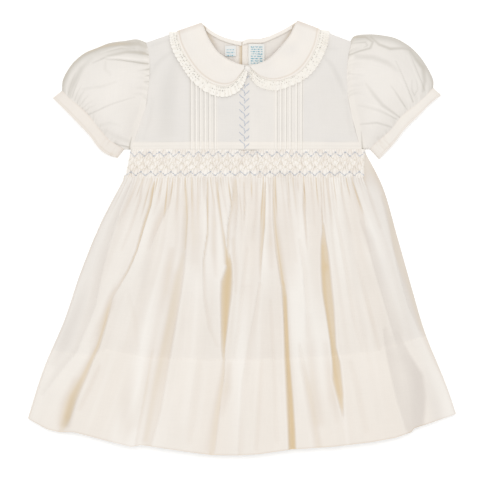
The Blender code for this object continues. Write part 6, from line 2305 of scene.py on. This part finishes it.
        # Painted shade along both edges of the band and its rolled sides, along the topstitching and over the
        # whole left cuff, and painted crease streaks near the underarm.
        shade = 0.2 * fall(0.0, 0.12, b) + 0.1 * smooth(0.9, 1.0, b) + 0.12 * fall(0.0, 0.08, from_edge)
        shade = shade + 0.25 * hump(b, self.cuff_stitch_at, 0.04) + cut.cuff_shade
        crease_shade = unit(self.cuff_crease_shade.at(cut.outward * x + y, cut.outward * x - y))
        shade = veiled(shade, 0.3 * smooth(0.68, 0.85, s) * crease_shade)
        layers = 0.65 + self.cuff_mottle.at(x, y)
        cloth = Cloth(xyz(x, y, z), shade, layers, ring=True, upper=top)
        made = cloth.build(f"cuff_{cut.side}_cloth", self.cuff_wall, self.finishes.double)
        dress_up(made, Slot.COLLAR, f"cuff_{cut.side}")
        thread = Thread(f"cuff_{cut.side}_topstitch", 0.17, self.finishes.sewing, 5)
        line = patch(*lines, np.full(80, self.cuff_stitch_at), np.linspace(0.06, 0.94, 80))
        thread.run(Seat(made), line, 1.7, 0.6, 0.16)
        dress_up(thread.build(), Slot.COLLAR)
        return made


SLEEVE_LEFT = SleeveCut(
    "left", -1, ARMHOLE_LEFT,
    (SHOULDER_LEFT, (-117.6, 221.8), (-131.0, 220.1), (-147.8, 217.8), (-162.4, 212.2),
     (-175.8, 206.6), (-187.0, 197.7), (-194.9, 187.6), (-200.5, 176.4), (-201.6, 164.1)),
    ((-201.6, 164.1), (-194.9, 157.4), (-172.5, 137.2), (-159.0, 120.4), (-147.5, 108.0),
     (-132.2, 98.6)),
    ((-211.7, 156.2), (-190.4, 135.0), (-170.2, 113.7), (-161.3, 101.4), (-152.6, 93.8),
     (-139.4, 89.0)),
    SLEEVE_LEFT_CREASES, 51, 0.12,
)
SLEEVE_RIGHT = SleeveCut(
    "right", 1, ARMHOLE_RIGHT,
    (SHOULDER_RIGHT, (126.6, 225.7), (143.4, 227.4), (160.2, 225.7), (173.6, 222.3),
     (188.2, 213.4), (199.4, 202.2), (208.3, 188.7), (213.9, 176.4), (213.9, 167.4)),
    ((213.9, 167.4), (205.0, 157.4), (190.4, 145.0), (177.0, 133.8), (165.8, 119.3),
     (150.0, 105.6), (143.4, 98.6)),
    ((222.9, 159.6), (210.6, 149.5), (196.0, 135.0), (181.4, 120.4), (171.4, 107.0),
     (160.2, 94.6), (153.4, 87.5)),
    SLEEVE_RIGHT_CREASES, 52, 0.0,
)


# --- Embroidery ----------------------------------------------------------------------------
@dataclass
class FeatherStitch:
    """Feather stitch down the centre front: arms thrown left and right of a spine."""

    finishes: Finishes
    top_y: float = 185.0
    low_y: float = 106.6
    centre_x: float = 2.6
    left_x: float = -3.0
    right_x: float = 8.2
    pitch: float = 8.4

    def embroider(self, bodice: bpy.types.Object) -> bpy.types.Object:
        """Work the stitch on the finished bodice.

        Args:
            bodice: the front panel that it lies on.

        Returns:
            The floss, all in one piece.
        """
        seat = Seat(bodice)
        floss = Thread("feather_stitch_floss", 0.42, self.finishes.blue)
        middle, y = self.centre_x, self.top_y
        while y > self.low_y:
            right_y = y - self.pitch / 2
            floss.stitch(seat, (self.left_x, y), (middle - 0.5, y - 4.6), 0.4, 6, -0.5)
            floss.stitch(seat, (middle - 0.4, y - 4.2), (middle + 0.6, y - 8.2), 0.35)
            floss.stitch(seat, (self.right_x, right_y), (middle + 1.6, right_y - 3.6), 0.4, 6, 0.5)
            floss.stitch(seat, (middle + 1.6, right_y - 3.4), (middle, right_y - 6.4), 0.35)
            y -= self.pitch
        return dress_up(floss.build(), Slot.SMOCKING)


# --- Studio --------------------------------------------------------------------------------
@dataclass
class Studio:
    """White table lit softly from under its top, wide soft light and a camera straight above."""

    eye: tuple[float, float, float] = (0.0084, -0.0062, 1.5525)
    lens: float = 100.0
    sensor: float = 36.0
    sky: float = 0.86
    key_place: tuple[float, float, float] = (-0.12, 0.5, 1.9)
    key_size: float = 1.3
    key_watts: float = 10.0
    glow: float = 0.16
    table_size: float = 8.0
    table_z: float = -0.0006

    def build(self) -> None:
        """Make the floor, the lights and the camera."""
        self.lay_table()
        self.light()
        deselect()
        bpy.ops.object.camera_add(location=self.eye, rotation=(0.0, 0.0, 0.0))
        camera = bpy.context.active_object
        camera.data.lens = self.lens
        camera.data.sensor_width = self.sensor
        bpy.context.scene.camera = camera
        bpy.context.scene.view_settings.view_transform = "Standard"
        bpy.context.scene.view_settings.look = "None"

    def lay_table(self) -> None:
        """White table top under the dress."""
        deselect()
        bpy.ops.mesh.primitive_plane_add(size=self.table_size, location=(0.0, 0.0, self.table_z))
        floor = bpy.context.active_object
        floor.name = "studio_floor"
        bpy.ops.object.transform_apply(location=True)
        paint = Paint("matt_white_light_table")
        fibre = paint.add("TexNoise", {"Vector": paint.add("TexCoord").outputs["Object"], "Scale": 60.0})
        floor.data.materials.append(paint.finish({
            "Base Color": paint.add("Mix", {
                "Factor": fibre, "A": linear("#FDFDFC"), "B": linear("#FBFBFB"),
            }, data_type="RGBA"),
            "Roughness": 0.9, "Specular IOR Level": 0.2, "Emission Color": WHITE,
            "Emission Strength": self.glow,
        }))

    def light(self) -> None:
        """White tent all round and one wide soft light high up behind the neck."""
        world = bpy.data.worlds.new("soft_tent")
        bpy.context.scene.world = world
        world.use_nodes = True
        sky = world.node_tree.nodes["Background"]
        sky.inputs["Color"].default_value = WHITE
        sky.inputs["Strength"].default_value = self.sky
        deselect()
        spot = Vector(self.key_place)
        bpy.ops.object.light_add(type="AREA", location=spot)
        key = bpy.context.active_object
        key.name = "key_softbox"
        key.data.shape = "SQUARE"
        key.data.size = self.key_size
        key.data.energy = self.key_watts
        key.rotation_euler = (-spot).to_track_quat("-Z", "Y").to_euler()


def main() -> None:
    """Build the dress piece by piece and report each one."""
    logging.basicConfig(level=logging.INFO, format="%(message)s", stream=sys.stdout)
    Studio().build()
    finishes = Finishes()
    skirt = Skirt(finishes)
    skirt.build_back()
    bodice = Bodice(finishes)
    backs = bodice.build_back()
    neck = BackNeck(finishes)
    neck.stitch_bindings([*backs, *neck.build_bindings()])
    neck.build_labels()
    neck.build_buttons()
    front = bodice.build_front()
    band = SmockedBand(finishes)
    band.build()
    band.embroider()
    skirt.build_front()
    skirt.stitch_hem()
    for half in (
        CollarHalf(
            finishes, "left", COLLAR_FRONT_LEFT, COLLAR_BACK_LEFT, SHOULDER_LEFT, NECK_LEFT, 17, 0.4,
        ),
        CollarHalf(
            finishes, "right", COLLAR_FRONT_RIGHT, COLLAR_BACK_RIGHT, SHOULDER_RIGHT, NECK_RIGHT, 18, 1.2,
        ),
    ):
        half.build_collar()
        half.build_lace()
        half.stitch_edge()
        half.pipe_neck()
    for cut in (SLEEVE_LEFT, SLEEVE_RIGHT):
        sleeve = Sleeve(finishes, cut)
        sleeve.build_sleeve()
        sleeve.build_cuff()
    FeatherStitch(finishes).embroider(front)


if __name__ == "__main__":
    main()
